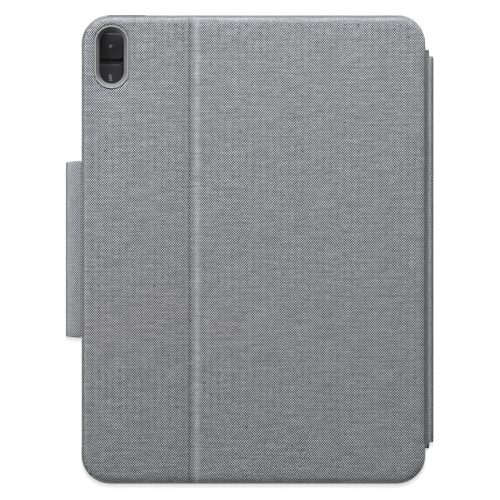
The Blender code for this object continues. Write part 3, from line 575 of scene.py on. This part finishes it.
def band_loop(path, half):
    """Outline of a band along an (x, z) path, round at its two ends."""
    left = []
    right = []
    for i, (x, z) in enumerate(path):
        before = path[max(i - 1, 0)]
        after = path[min(i + 1, len(path) - 1)]
        size = math.dist(before, after)
        to_x, to_z = (after[0] - before[0]) / size, (after[1] - before[1]) / size
        left.append((x - to_z * half, z + to_x * half))
        right.append((x + to_z * half, z - to_x * half))
        if i in (0, len(path) - 1):
            side = -1.0 if i == 0 else 1.0
            bow = []
            for turn in (30.0, 60.0, 90.0, 120.0, 150.0):
                lift = half * math.cos(math.radians(turn))
                reach = side * half * math.sin(math.radians(turn))
                bow.append((x - to_z * lift + to_x * reach, z + to_x * lift + to_z * reach))
            if i == 0:
                start_bow = bow
            else:
                end_bow = bow
    return list(reversed(start_bow)) + left + end_bow + list(reversed(right))


def run_along(loop, last):
    """Distance along a loop from its first point to another."""
    return sum(math.dist(loop[i], loop[i + 1]) for i in range(last))


def rounded_loop(corners, radius):
    """Outline of a polygon in (x, z) with its corners rounded."""
    loop = []
    for i, corner in enumerate(corners):
        here = Vector(corner)
        back = (Vector(corners[i - 1]) - here).normalized()
        ahead = (Vector(corners[(i + 1) % len(corners)]) - here).normalized()
        for step in range(CORNER_STEPS + 1):
            share = step / CORNER_STEPS
            start = here + back * radius * (1.0 - share)
            end = here + ahead * radius * share
            loop.append(tuple(start.lerp(end, share)))
    return loop


def along_y(loop_at, half, place_y=None):
    """Stations of a bar along Y whose two ends close in a soft roll."""
    ys = [(-half + inset * MM, share) for inset, share in ROLLED_ENDS]
    ys += [(half * step / 8.0, 1.0) for step in range(-7, 8)]
    ys += [(half - inset * MM, share) for inset, share in reversed(ROLLED_ENDS)]
    stations = []
    for y, share in ys:
        loop = loop_at(share)
        stations.append([(x, y if place_y is None else place_y(x, y), z) for x, z in loop])
    return stations


def bar(name, path, half, reach, finish, place_y=None):
    """Band along an (x, z) path, half as thick as given on each side, that reaches along Y both ways."""
    stations = along_y(lambda share: band_loop(path, half * share), reach, place_y)
    return swept(name, stations, finish)


def stack_faces(count, levels):
    """Faces of a stack of rings, closed at the bottom and the top."""
    last = (levels - 1) * count
    faces = [tuple(reversed(range(count))), tuple(range(last, last + count))]
    for base in range(0, last, count):
        for i in range(count):
            j = (i + 1) % count
            faces.append((base + i, base + j, base + count + j, base + count + i))
    return faces


def repeat_tree():
    """Node tree that repeats a shape along a straight line."""
    tree = bpy.data.node_groups.new("repeat_along_line", "GeometryNodeTree")
    for socket, kind in (("Shape", "Object"), ("Count", "Int"), ("Start", "Vector"),
                         ("Step", "Vector"), ("Finish", "Material")):
        tree.interface.new_socket(socket, in_out="INPUT", socket_type="NodeSocket" + kind)
    tree.interface.new_socket("Geometry", in_out="OUTPUT", socket_type="NodeSocketGeometry")
    given = tree.nodes.new("NodeGroupInput")
    line = tree.nodes.new("GeometryNodeMeshLine")
    shape = tree.nodes.new("GeometryNodeObjectInfo")
    copies = tree.nodes.new("GeometryNodeInstanceOnPoints")
    real = tree.nodes.new("GeometryNodeRealizeInstances")
    paint = tree.nodes.new("GeometryNodeSetMaterial")
    result = tree.nodes.new("NodeGroupOutput")
    for source, target in (
        (given.outputs["Count"], line.inputs["Count"]),
        (given.outputs["Start"], line.inputs["Start Location"]),
        (given.outputs["Step"], line.inputs["Offset"]),
        (given.outputs["Shape"], shape.inputs["Object"]),
        (line.outputs["Mesh"], copies.inputs["Points"]),
        (shape.outputs["Geometry"], copies.inputs["Instance"]),
        (copies.outputs["Instances"], real.inputs["Geometry"]),
        (real.outputs["Geometry"], paint.inputs["Geometry"]),
        (given.outputs["Finish"], paint.inputs["Material"]),
        (paint.outputs["Geometry"], result.inputs["Geometry"]),
    ):
        tree.links.new(source, target)
    return tree


REPEAT = repeat_tree()


def repeated(name, shape, count, start, step, finish):
    """Plain mesh piece made of copies of a shape along a line; the shape itself is taken away."""
    item = add_piece(name, [], [], finish)
    layer = item.modifiers.new("repeat", "NODES")
    layer.node_group = REPEAT
    values = {"Shape": shape, "Count": count, "Start": start, "Step": step, "Finish": finish}
    for socket in REPEAT.interface.items_tree:
        if socket.in_out == "INPUT":
            layer[socket.identifier] = values[socket.name]
    item.update_tag()
    bpy.context.view_layer.update()
    settle(item)
    discard(shape)
    return item


def soften_tree():
    """Node tree that joins a node's facets and shades its round faces smoothly."""
    tree = bpy.data.node_groups.new("soften", "GeometryNodeTree")
    tree.interface.new_socket("Geometry", in_out="INPUT", socket_type="NodeSocketGeometry")
    tree.interface.new_socket("Geometry", in_out="OUTPUT", socket_type="NodeSocketGeometry")
    given = tree.nodes.new("NodeGroupInput")
    join = tree.nodes.new("GeometryNodeMergeByDistance")
    join.inputs["Distance"].default_value = 0.002 * MM
    smooth = tree.nodes.new("GeometryNodeSetShadeSmooth")
    smooth.domain = "FACE"
    angle = tree.nodes.new("GeometryNodeInputMeshEdgeAngle")
    sharp = tree.nodes.new("ShaderNodeMath")
    sharp.operation = "GREATER_THAN"
    sharp.inputs[1].default_value = math.radians(28.0)
    crease = tree.nodes.new("GeometryNodeSetShadeSmooth")
    crease.domain = "EDGE"
    crease.inputs["Shade Smooth"].default_value = False
    result = tree.nodes.new("NodeGroupOutput")
    for source, target in (
        (given.outputs["Geometry"], join.inputs["Geometry"]),
        (join.outputs["Geometry"], smooth.inputs["Geometry"]),
        (smooth.outputs["Geometry"], crease.inputs["Geometry"]),
        (angle.outputs["Unsigned Angle"], sharp.inputs[0]),
        (sharp.outputs[0], crease.inputs["Selection"]),
        (crease.outputs["Geometry"], result.inputs["Geometry"]),
    ):
        tree.links.new(source, target)
    return tree


SOFTEN = soften_tree()


def carry_over(finish, *names):
    """Give CAD nodes that stay in view their finish and smooth round faces."""
    for name in names:
        item = nodes[name]
        if not item.material_slots:
            item.data.materials.append(finish)
        for place in item.material_slots:
            place.material = finish
        layer = item.modifiers.new("soften", "NODES")
        layer.node_group = SOFTEN


# Woven back: one cloth over both boards, pressed in along the fold and round the window
bezel_low, bezel_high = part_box("camera_bezel")
bezel_size = bezel_high - bezel_low
bezel_middle = (bezel_low + bezel_high) / 2.0
WINDOW = (bezel_middle.x, bezel_middle.y, bezel_size.x, bezel_size.y)
GROOVE = 0.65 * MM
CLOTH = 0.5 * MM
fold_stops = [GROOVE_X + offset * MM for offset in
              (-2.5, -2.25, -2.0, -1.75, -1.5, -1.25, -0.5, 0.5, 0.9, 1.3, 1.7, 2.1, 2.5, 2.9)]


def back_sink(x, y):
    """How far the back cloth lies under the flat of the panel."""
    groove = ease(x, GROOVE_X - 2.5 * MM, GROOVE_X - 1.25 * MM)
    groove *= 1.0 - ease(x, GROOVE_X + 0.9 * MM, GROOVE_X + 2.9 * MM)
    pressed = 1.0 - ease(from_pill(x, y, *WINDOW), 0.1 * MM, 1.45 * MM)
    return GROOVE * groove + 0.4 * MM * pressed


back = cover(
    "back_cloth",
    (LEFT + 1.1 * MM, RIGHT - 0.15 * MM, -TOP + 0.8 * MM, TOP - 1.4 * MM),
    (CASE_CORNER - 1.2 * MM, CASE_CORNER - 1.2 * MM),
    (4.2 * MM, 1.7 * MM, 2.5 * MM),
    CASE_TOP,
    cloth_back,
    stops=fold_stops,
    sink=back_sink,
    hole=(WINDOW[0], WINDOW[1], WINDOW[2] + 0.3 * MM, WINDOW[3] + 0.3 * MM, 1.4 * MM),
)
thicken(back, CLOTH)
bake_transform(back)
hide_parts("upper_fabric", "prop_fabric")

# Woven tape round the left edge of the upper board, its yarn darkened as painted shade
TAPE_PATH = ((0.2, -1.75), (0.25, -1.3), (0.4, -1.02), (0.8, -0.92), (1.4, -0.91), (2.0, -0.91))
tape_rings = []
for inset, z in band_loop([(inset * MM, CASE_TOP + z * MM) for inset, z in TAPE_PATH], 0.06 * MM):
    ring = outline((LEFT, RIGHT, -TOP, TOP), inset, CASE_CORNER, CASE_CORNER)
    tape_rings.append([(x, y, z) for x, y, out in ring[50:67]])
tape = swept("edge_tape", list(zip(*tape_rings)), cloth_tape_painted_shade)
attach(tape, "tablet_holder")

# Inner side of the fold
strip_low, strip_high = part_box("fold_strip")
strip_z = strip_low.z + 0.6 * MM
fold_path = [(strip_low.x + (strip_high.x - strip_low.x) * step / 8.0, strip_z) for step in range(9)]
fold_web = bar("fold_web", fold_path, 0.4 * MM, strip_high.y, lining_nap)
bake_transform(fold_web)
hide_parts("fold_strip")

# Linings and the woven cover under the keyboard half
low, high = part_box("base_fabric")
base = cover(
    "base_cloth",
    (low.x - 0.35 * MM, high.x + 0.2 * MM, low.y - 0.35 * MM, high.y + 0.35 * MM),
    (CASE_CORNER, CASE_CORNER),
    (1.2 * MM, 0.8 * MM, 1.1 * MM),
    low.z,
    cloth_grey,
    up=-1.0,
)
thicken(base, CLOTH)
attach(base, "keyboard")
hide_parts("base_fabric")

low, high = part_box("bay_lining")
bay = cover(
    "bay_lining_cloth",
    (low.x, high.x, low.y, high.y),
    (9.0 * MM, 9.0 * MM),
    (0.5 * MM, 0.25 * MM, 0.35 * MM),
    low.z,
    lining_nap,
    up=-1.0,
    hole=(WINDOW[0], WINDOW[1], WINDOW[2] - 3.2 * MM, WINDOW[3] - 3.2 * MM, 0.3 * MM),
)
thicken(bay, 0.2 * MM)
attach(bay, "tablet_holder")
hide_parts("bay_lining")

low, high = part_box("prop_lining")
prop = cover(
    "prop_lining_cloth",
    (low.x, high.x, low.y, high.y),
    (1.2 * MM, CASE_CORNER - 1.3 * MM),
    (0.6 * MM, 0.35 * MM, 0.48 * MM),
    low.z,
    lining_nap,
    up=-1.0,
)
thicken(prop, 0.25 * MM)
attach(prop, "prop_panel")
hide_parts("prop_lining")

# Camera bezel: thin lip, sloping inner wall
bezel_profile = (
    (0.0, bezel_low.z), (0.0, bezel_high.z - 0.2 * MM), (0.06 * MM, bezel_high.z - 0.06 * MM),
    (0.2 * MM, bezel_high.z), (0.6 * MM, bezel_high.z), (0.74 * MM, bezel_high.z - 0.08 * MM),
    (0.86 * MM, bezel_high.z - 0.3 * MM), (2.45 * MM, bezel_low.z + 0.35 * MM),
    (2.6 * MM, bezel_low.z + 0.1 * MM), (2.6 * MM, bezel_low.z),
)
bezel_points = []
for inset, z in bezel_profile:
    ring = pill(WINDOW[0], WINDOW[1], WINDOW[2] - 2.0 * inset, WINDOW[3] - 2.0 * inset)
    bezel_points.extend((x, y, z) for x, y in ring)
ring_count = len(bezel_points) // len(bezel_profile)
bezel_faces = []
for level in range(len(bezel_profile)):
    after = (level + 1) % len(bezel_profile)
    for i in range(ring_count):
        j = (i + 1) % ring_count
        bezel_faces.append((level * ring_count + i, level * ring_count + j,
                            after * ring_count + j, after * ring_count + i))
bezel = face_out(add_piece("bezel_ring", bezel_points, bezel_faces, bezel_satin))
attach(bezel, "tablet_holder")
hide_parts("camera_bezel")

# Spine and its hinge skins
low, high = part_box("spine_fabric")
spine_corners = [(low.x, low.z), (high.x, low.z), (high.x, high.z), (low.x - 0.15 * MM, high.z)]
spine_middle = ((low.x + high.x) / 2.0, (low.z + high.z) / 2.0)


def spine_loop(share):
    """Spine section, drawn in towards its middle at the ends."""
    inset = 0.9 * MM * (1.0 - share)
    corners = [(x + math.copysign(inset, spine_middle[0] - x),
                z + math.copysign(inset, spine_middle[1] - z)) for x, z in spine_corners]
    return rounded_loop(corners, 0.7 * MM * share + 0.1 * MM)


spine_edge = run_along(spine_loop(1.0), 15)
# The line at the spine's outer edge is painted shade.
cloth_spine = woven("woven cloth of the spine", LIT_COPY_YARN, DARK_YARN, *PITCHES, PLAIN_STREAKS,
                    ((0, spine_edge, 0.65 * MM, 1.2 * MM, 0.45, 0.0),))
spine = swept("spine_cloth", along_y(spine_loop, high.y), cloth_spine)
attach(spine, "spine")
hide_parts("spine_fabric", "spine_board")

strip_low, strip_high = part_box("upper_hinge_strip")
upper_z = strip_high.z
GUTTER_DIP = ((-0.05, 0.3), (0.3, 0.42), (0.7, 0.48), (1.2, 0.42), (1.7, 0.3))
gutter_path = [(strip_low.x + across * MM, upper_z - dip * MM) for across, dip in GUTTER_DIP]


def gutter_end(x, y):
    """The gutter's ends are cut back towards the spine."""
    return y * (1.0 - 0.026 * ease(x, strip_low.x - 0.2 * MM, strip_high.x + 0.2 * MM))


gutter = bar("hinge_gutter", gutter_path, 0.3 * MM, strip_high.y, hinge_skin, gutter_end)
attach(gutter, "spine")
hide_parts("upper_hinge_strip")

strip_low, strip_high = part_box("lower_hinge_strip")
lower_z = (strip_low.z + strip_high.z) / 2.0
lower_path = [(strip_low.x - 0.2 * MM + 2.3 * MM * step / 8.0, lower_z) for step in range(9)]
lower = bar("lower_hinge_skin", lower_path, 0.35 * MM, strip_high.y, hinge_skin)
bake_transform(lower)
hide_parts("lower_hinge_strip")

# Side flap: one cloth over the outer fold, its sewn web at the panel and the pocket on its latch
flap_low, flap_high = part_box("flap_top")
FLAP_LEAN = math.radians(9.0)
FLAP_HALF = (flap_high.z - flap_low.z) / 2.0
FLAP_BEND = 1.2 * MM
FLAP_SWELL = 0.12 * MM
FLAP_DIP = 0.6 * MM
FLAP_RUN = 18.2 * MM
POCKET_RUN = (14.5 * MM, 19.0 * MM)
POCKET_DEPTH = (1.3 * MM, 5.9 * MM)


def flap_point(along, across):
    """Point on the leaning side of the flap, along it from the outer fold and across it inwards."""
    return (flap_low.x + along * math.sin(FLAP_LEAN) + across * math.cos(FLAP_LEAN),
            flap_high.z - along * math.cos(FLAP_LEAN) + across * math.sin(FLAP_LEAN))


flap_z = flap_high.z - FLAP_HALF
edge_x, edge_z = flap_point(0.0, FLAP_HALF - FLAP_SWELL)
slide = (edge_z + FLAP_BEND * math.sin(FLAP_LEAN) - flap_z + FLAP_BEND) / math.cos(FLAP_LEAN)
bend_x = edge_x + FLAP_BEND * math.cos(FLAP_LEAN) + slide * math.sin(FLAP_LEAN)
bend_z = flap_z - FLAP_BEND
flap_path = []
for step in range(10):
    share = step / 10.0
    bow = 0.25 * MM * math.sin(math.pi * share) - FLAP_DIP * (1.0 - ease(share, 0.0, 0.5))
    flap_path.append((flap_high.x - FLAP_HALF + (bend_x - flap_high.x + FLAP_HALF) * share, flap_z + bow))
for step in range(9):
    angle = QUARTER + (QUARTER + FLAP_LEAN) * step / 8.0
    flap_path.append((bend_x + FLAP_BEND * math.cos(angle), bend_z + FLAP_BEND * math.sin(angle)))
for step in range(1, 9):
    flap_path.append(flap_point(slide + (FLAP_RUN - slide) * step / 8.0, FLAP_HALF - FLAP_SWELL))


def flap_end(x, y):
    """The flap narrows a little towards its outer fold."""
    return y * (1.0 - 0.014 * ease(flap_high.x - x, 0.0, flap_high.x - flap_low.x))


flap_loop = band_loop(flap_path, FLAP_HALF)
flap_edge = run_along(flap_loop, min(range(len(flap_loop)), key=lambda i: flap_loop[i][0]))
# Painted shade and light on the flap cloth: painted shade at its inner end by the panel and along its
# outer bend, a painted lighter band across its middle, and a slightly darker, flatter weave near the outer
# edge.
PAINTED_FLAP_SHADE_AND_LIGHT = (
    (0, 1.7 * MM, 0.7 * MM, 4.2 * MM, 0.6, 0.0),
    (0, flap_edge, 1.0 * MM, 2.2 * MM, 0.42, 0.0),
    (0, flap_edge + 5.0 * MM, 5.0 * MM, 8.0 * MM, 1.03, 0.25),
    (0, flap_edge + 1.0 * MM, 1.2 * MM, 4.0 * MM, 0.97, 0.5),
)
cloth_flap = woven("woven cloth of the flap", LIT_COPY_YARN, DARK_YARN, *PITCHES, PLAIN_STREAKS, PAINTED_FLAP_SHADE_AND_LIGHT)
flap = bar("flap_cloth", flap_path, FLAP_HALF, flap_high.y, cloth_flap, flap_end)
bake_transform(flap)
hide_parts("flap_top", "flap_side")

web_path = [(LEFT + 1.2 * MM - 2.6 * MM * step / 8.0, flap_z - FLAP_DIP + 0.1 * MM) for step in range(9)]
web = bar("flap_web", web_path, 0.45 * MM, flap_high.y - 0.6 * MM, cloth_grey)
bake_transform(web)

pocket_corners = [flap_point(POCKET_RUN[run], POCKET_DEPTH[depth])
                  for run, depth in ((1, 0), (1, 1), (0, 1), (0, 0))]


def pocket_loop(share):
    """Latch pocket section, drawn in at its ends."""
    middle = Vector(flap_point(16.75 * MM, 3.8 * MM))
    corners = [tuple(middle.lerp(Vector(corner), 0.5 + 0.5 * share)) for corner in pocket_corners]
    return rounded_loop(corners, 0.9 * MM)


pocket = swept("latch_pocket", along_y(pocket_loop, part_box("flap_magnet")[1].y), lining_nap)
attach(pocket, "flap_latch")
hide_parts("flap_magnet")

# Keys: caps repeated along each run, on the run's web, with plain printed legends
KEY_FLANGE = 0.9 * MM
KEY_GAP = 2.6 * MM
KEY_WEB = 0.6 * MM
shortcut_low, shortcut_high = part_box("shortcut_keys")
KEY_UNIT = (shortcut_high.y - shortcut_low.y - 2.0 * KEY_FLANGE + KEY_GAP) / 14.0
KEY_RUNS = {
    "shortcut_keys": ((1.0,) * 14, "esc F1 F2 F3 F4 F5 F6 F7 F8 F9 F10 F11 F12 lock"),
    "number_keys": ((1.0,) * 13, "` 1 2 3 4 5 6 7 8 9 0 - ="),
    "delete_key": ((1.0,), "del"),
    "tab_key": ((1.0,), "tab"),
    "upper_letter_keys": ((1.0,) * 13, "Q W E R T Y U I O P [ ] \\"),
    "caps_key": ((1.5,), "caps"),
    "home_letter_keys": ((1.0,) * 11, "A S D F G H J K L ; '"),
    "return_key": ((1.5,), "return"),
    "left_shift_key": ((2.0,), "shift"),
    "lower_letter_keys": ((1.0,) * 10, "Z X C V B N M , . /"),
    "right_shift_key": ((2.0,), "shift"),
    "left_modifier_keys": ((1.0, 1.0, 1.0, 1.25), "fn ctrl alt cmd"),
    "space_key": ((5.0,), ""),
    "right_modifier_keys": ((1.25, 1.0), "cmd alt"),
    "left_arrow_key": ((0.83,), "<"),
    "down_arrow_key": ((0.83,), "v"),
    "up_arrow_key": ((0.83,), "^"),
    "right_arrow_key": ((0.84,), ">"),
}
ARROWS = {"<": 90.0, "^": 0.0, ">": -90.0, "v": 180.0}
ARROW_SIZE = 0.9 * MM
CAP_LEVELS = ((0.0, None), (0.0, -0.5), (0.05, -0.28), (0.2, -0.09), (0.5, 0.0), (1.6, -0.035),
              (2.7, -0.06))
CAP_CORNER = 1.7 * MM
LETTER_SIZE = 4.4 * MM
WORD_SIZE = 2.5 * MM
HOME_MARKS = (3, 6)


def cap_shape(width, depth, skirt):
    """One key cap about the middle of its top: straight skirt, soft rim, shallow dish."""
    points = []
    box = (-depth / 2.0, depth / 2.0, -width / 2.0, width / 2.0)
    for inset, z in CAP_LEVELS:
        inset = min(inset * MM, 0.42 * min(width, depth))
        level = -skirt if z is None else z * MM
        ring = outline(box, inset, CAP_CORNER, CAP_CORNER, steps=5)
        points.extend((x, y, level) for x, y, out in ring)
    return add_piece("cap", points, stack_faces(len(ring), len(CAP_LEVELS)), key_matt)


def letter_mesh(word, size):
    """Points and faces of a word set about its middle, reading along -Y with its top towards +X."""
    if word in ARROWS:
        turn = math.radians(ARROWS[word])
        shape = [(0.0, 1.0), (-0.9, -0.6), (0.9, -0.6)]
        turned = [(u * math.cos(turn) - v * math.sin(turn),
                   u * math.sin(turn) + v * math.cos(turn)) for u, v in shape]
        return [(v * ARROW_SIZE, -u * ARROW_SIZE) for u, v in turned], [(0, 1, 2)]
    text = bpy.data.curves.new("legend", "FONT")
    text.body = word
    text.size = size
    text.align_x = "CENTER"
    text.align_y = "CENTER"
    text.resolution_u = 3
    item = bpy.data.objects.new("legend", text)
    bpy.context.scene.collection.objects.link(item)
    bpy.context.view_layer.update()
    graph = bpy.context.evaluated_depsgraph_get()
    mesh = bpy.data.meshes.new_from_object(item.evaluated_get(graph))
    flat = [(point.co.y, -point.co.x) for point in mesh.vertices]
    faces = [tuple(face.vertices) for face in mesh.polygons]
    bpy.data.objects.remove(item)
    bpy.data.curves.remove(text)
    bpy.data.meshes.remove(mesh)
    return flat, faces


def join_meshes(item, others):
    """Take the meshes of other objects into one and remove those objects."""
    work = bmesh.new()
    for source in [item, *others]:
        work.from_mesh(source.data)
    work.to_mesh(item.data)
    work.free()
    for other in others:
        discard(other)


for run, (widths, words) in KEY_RUNS.items():
    low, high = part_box(run)
    middle_x = (low.x + high.x) / 2.0
    web_top = low.z + KEY_WEB
    web_box = (low.x + 0.1 * MM, high.x - 0.1 * MM, low.y, high.y)
    web_ring = outline(web_box, 0.0, 0.4 * MM, 0.4 * MM, steps=3)
    web_points = [(x, y, z) for z in (low.z, web_top) for x, y, out in web_ring]
    caps = add_piece(run + "_caps", web_points, stack_faces(len(web_ring), 2), key_matt)
    made = []
    centres = []
    place = high.y - KEY_FLANGE + KEY_GAP / 2.0
    for width, alike in groupby(widths):
        same = len(list(alike))
        pitch = width * KEY_UNIT
        shape = cap_shape(pitch - KEY_GAP, high.x - low.x, high.z - web_top + 0.05 * MM)
        start = (middle_x, place - pitch / 2.0, high.z)
        made.append(repeated("caps", shape, same, start, (0.0, -pitch, 0.0), key_matt))
        centres += [start[1] - pitch * step for step in range(same)]
        place -= pitch * same
    join_meshes(caps, made)
    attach(caps, run + "_body")
    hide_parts(run)
    points = []
    faces = []
    for word, y in zip(words.split(), centres):
        flat, parts = letter_mesh(word, LETTER_SIZE if len(word) == 1 else WORD_SIZE)
        first = len(points)
        points.extend((middle_x + u, y + v, high.z - 0.02 * MM) for u, v in flat)
        faces.extend(tuple(first + i for i in part) for part in parts)
    if run == "home_letter_keys":
        for index in HOME_MARKS:
            first = len(points)
            mark_box = (middle_x - 4.9 * MM, middle_x - 4.4 * MM,
                        centres[index] - 1.6 * MM, centres[index] + 1.6 * MM)
            mark = outline(mark_box, 0.0, 0.24 * MM, 0.24 * MM, steps=3)
            points.extend((x, y, high.z + 0.02 * MM) for x, y, out in mark)
            faces.append(tuple(range(first, first + len(mark))))
    if faces:
        printed = thicken(add_piece(run + "_print", points, faces, legend_print, smooth=False), 0.06 * MM)
        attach(printed, run + "_body")

# Ribs along the dock rail
rail_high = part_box("dock_rail")[1]
rib_box = (-0.75 * MM, 0.75 * MM, -0.4 * MM, 0.4 * MM)
RIB_LEVELS = ((0.0, -0.1), (0.0, 0.04), (0.12, 0.11), (0.28, 0.14))
RIB_CORNER = 0.39 * MM
RIB_COUNT = 75
RIB_PITCH = 3.0 * MM
rib_points = []
for inset, z in RIB_LEVELS:
    ring = outline(rib_box, inset * MM, RIB_CORNER, RIB_CORNER, steps=2)
    rib_points.extend((x, y, z * MM) for x, y, out in ring)
rib = add_piece("rib", rib_points, stack_faces(len(ring), len(RIB_LEVELS)), rubber_matt)
rib_start = (rail_high.x - 1.05 * MM, -111.0 * MM, rail_high.z)
ribs = repeated("rail_ribs", rib, RIB_COUNT, rib_start, (0.0, RIB_PITCH, 0.0), rubber_matt)
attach(ribs, "keyboard")

# Nodes whose shape is right stay in view
carry_over(tray_soft, "tablet_tray")
carry_over(shell_soft, "base_shell", "battery_drawer")
carry_over(deck_skin, "key_deck")
carry_over(rear_skin, "rear_deck")
carry_over(rubber_matt, "dock_rail", "deck_bumper_left", "deck_bumper_right")
carry_over(key_matt, "power_switch")
carry_over(steel_brushed, "key_back_plate", "latch_plate", "dock_rod", "battery_contact",
           "coin_cell_outer", "coin_cell_inner")
carry_over(magnet_plate, "dock_magnet_left", "dock_magnet_right", "prop_magnet_upper", "prop_magnet_lower")
carry_over(board_grey, "upper_board", "prop_board")
carry_over(circuit_green, "controller_board")
carry_over(film_clear, "membrane_sheet", "flex_tail")
carry_over(light_clear, "status_light")

# Floor, light and camera
floor_look = moulded("pale floor", (0.86, 0.86, 0.86), 0.9, grain=900.0, depth=0.01, drift=0.01,
                     Emission_Color=(1.0, 1.0, 1.0, 1.0), Emission_Strength=0.60)
FLOOR_HALF = 4.0
FLOOR_DROP = 0.05 * MM
floor_corners = [(x * FLOOR_HALF, y * FLOOR_HALF, -FLOOR_DROP)
                 for x, y in ((-1, -1), (1, -1), (1, 1), (-1, 1))]
floor = add_piece("floor", floor_corners, [(0, 1, 2, 3)], floor_look, smooth=False)

scene = bpy.context.scene
scene.view_settings.view_transform = "Standard"
world = bpy.data.worlds.new("studio")
world.use_nodes = True
sky = world.node_tree.nodes["Background"]
sky.inputs["Color"].default_value = (1.0, 1.0, 1.0, 1.0)
sky.inputs["Strength"].default_value = 0.16
scene.world = world


def add_light(name, place, size, watts, only_on):
    """Soft light aimed at the middle of the case and kept to one group of pieces."""
    data = bpy.data.lights.new(name, "AREA")
    data.shape = "RECTANGLE"
    data.size, data.size_y = size
    data.energy = watts
    item = bpy.data.objects.new(name, data)
    item.location = place
    item.rotation_euler = (-Vector(place)).to_track_quat("-Z", "Y").to_euler()
    item.light_linking.receiver_collection = only_on
    scene.collection.objects.link(item)


on_floor = bpy.data.collections.new("floor")
on_floor.objects.link(floor)
off_floor = bpy.data.collections.new("all but the floor")
off_floor.objects.link(floor)
off_floor.collection_objects[0].light_linking.link_state = "EXCLUDE"
add_light("key light", (-1.4, 2.6, 2.2), (1.2, 1.2), 67.0, off_floor)
add_light("edge light", (0.0, 0.75, 0.35), (0.4, 0.4), 7.8, off_floor)
add_light("side light", (-1.2, 0.0, 0.35), (0.5, 0.5), 1.5, off_floor)
add_light("floor light", (0.0, 0.35, 3.0), (0.2, 0.7), 55.0, on_floor)

VIEW_WIDTH = 272.25 * MM
camera_data = bpy.data.cameras.new("camera")
camera_data.lens = 1200.0
camera_data.sensor_width = 36.0
camera_data.clip_end = 100.0
camera = bpy.data.objects.new("camera", camera_data)
view_height = VIEW_WIDTH * camera_data.lens / camera_data.sensor_width
camera.location = (0.3 * MM, -0.5 * MM, CASE_TOP + view_height)
scene.collection.objects.link(camera)
scene.camera = camera
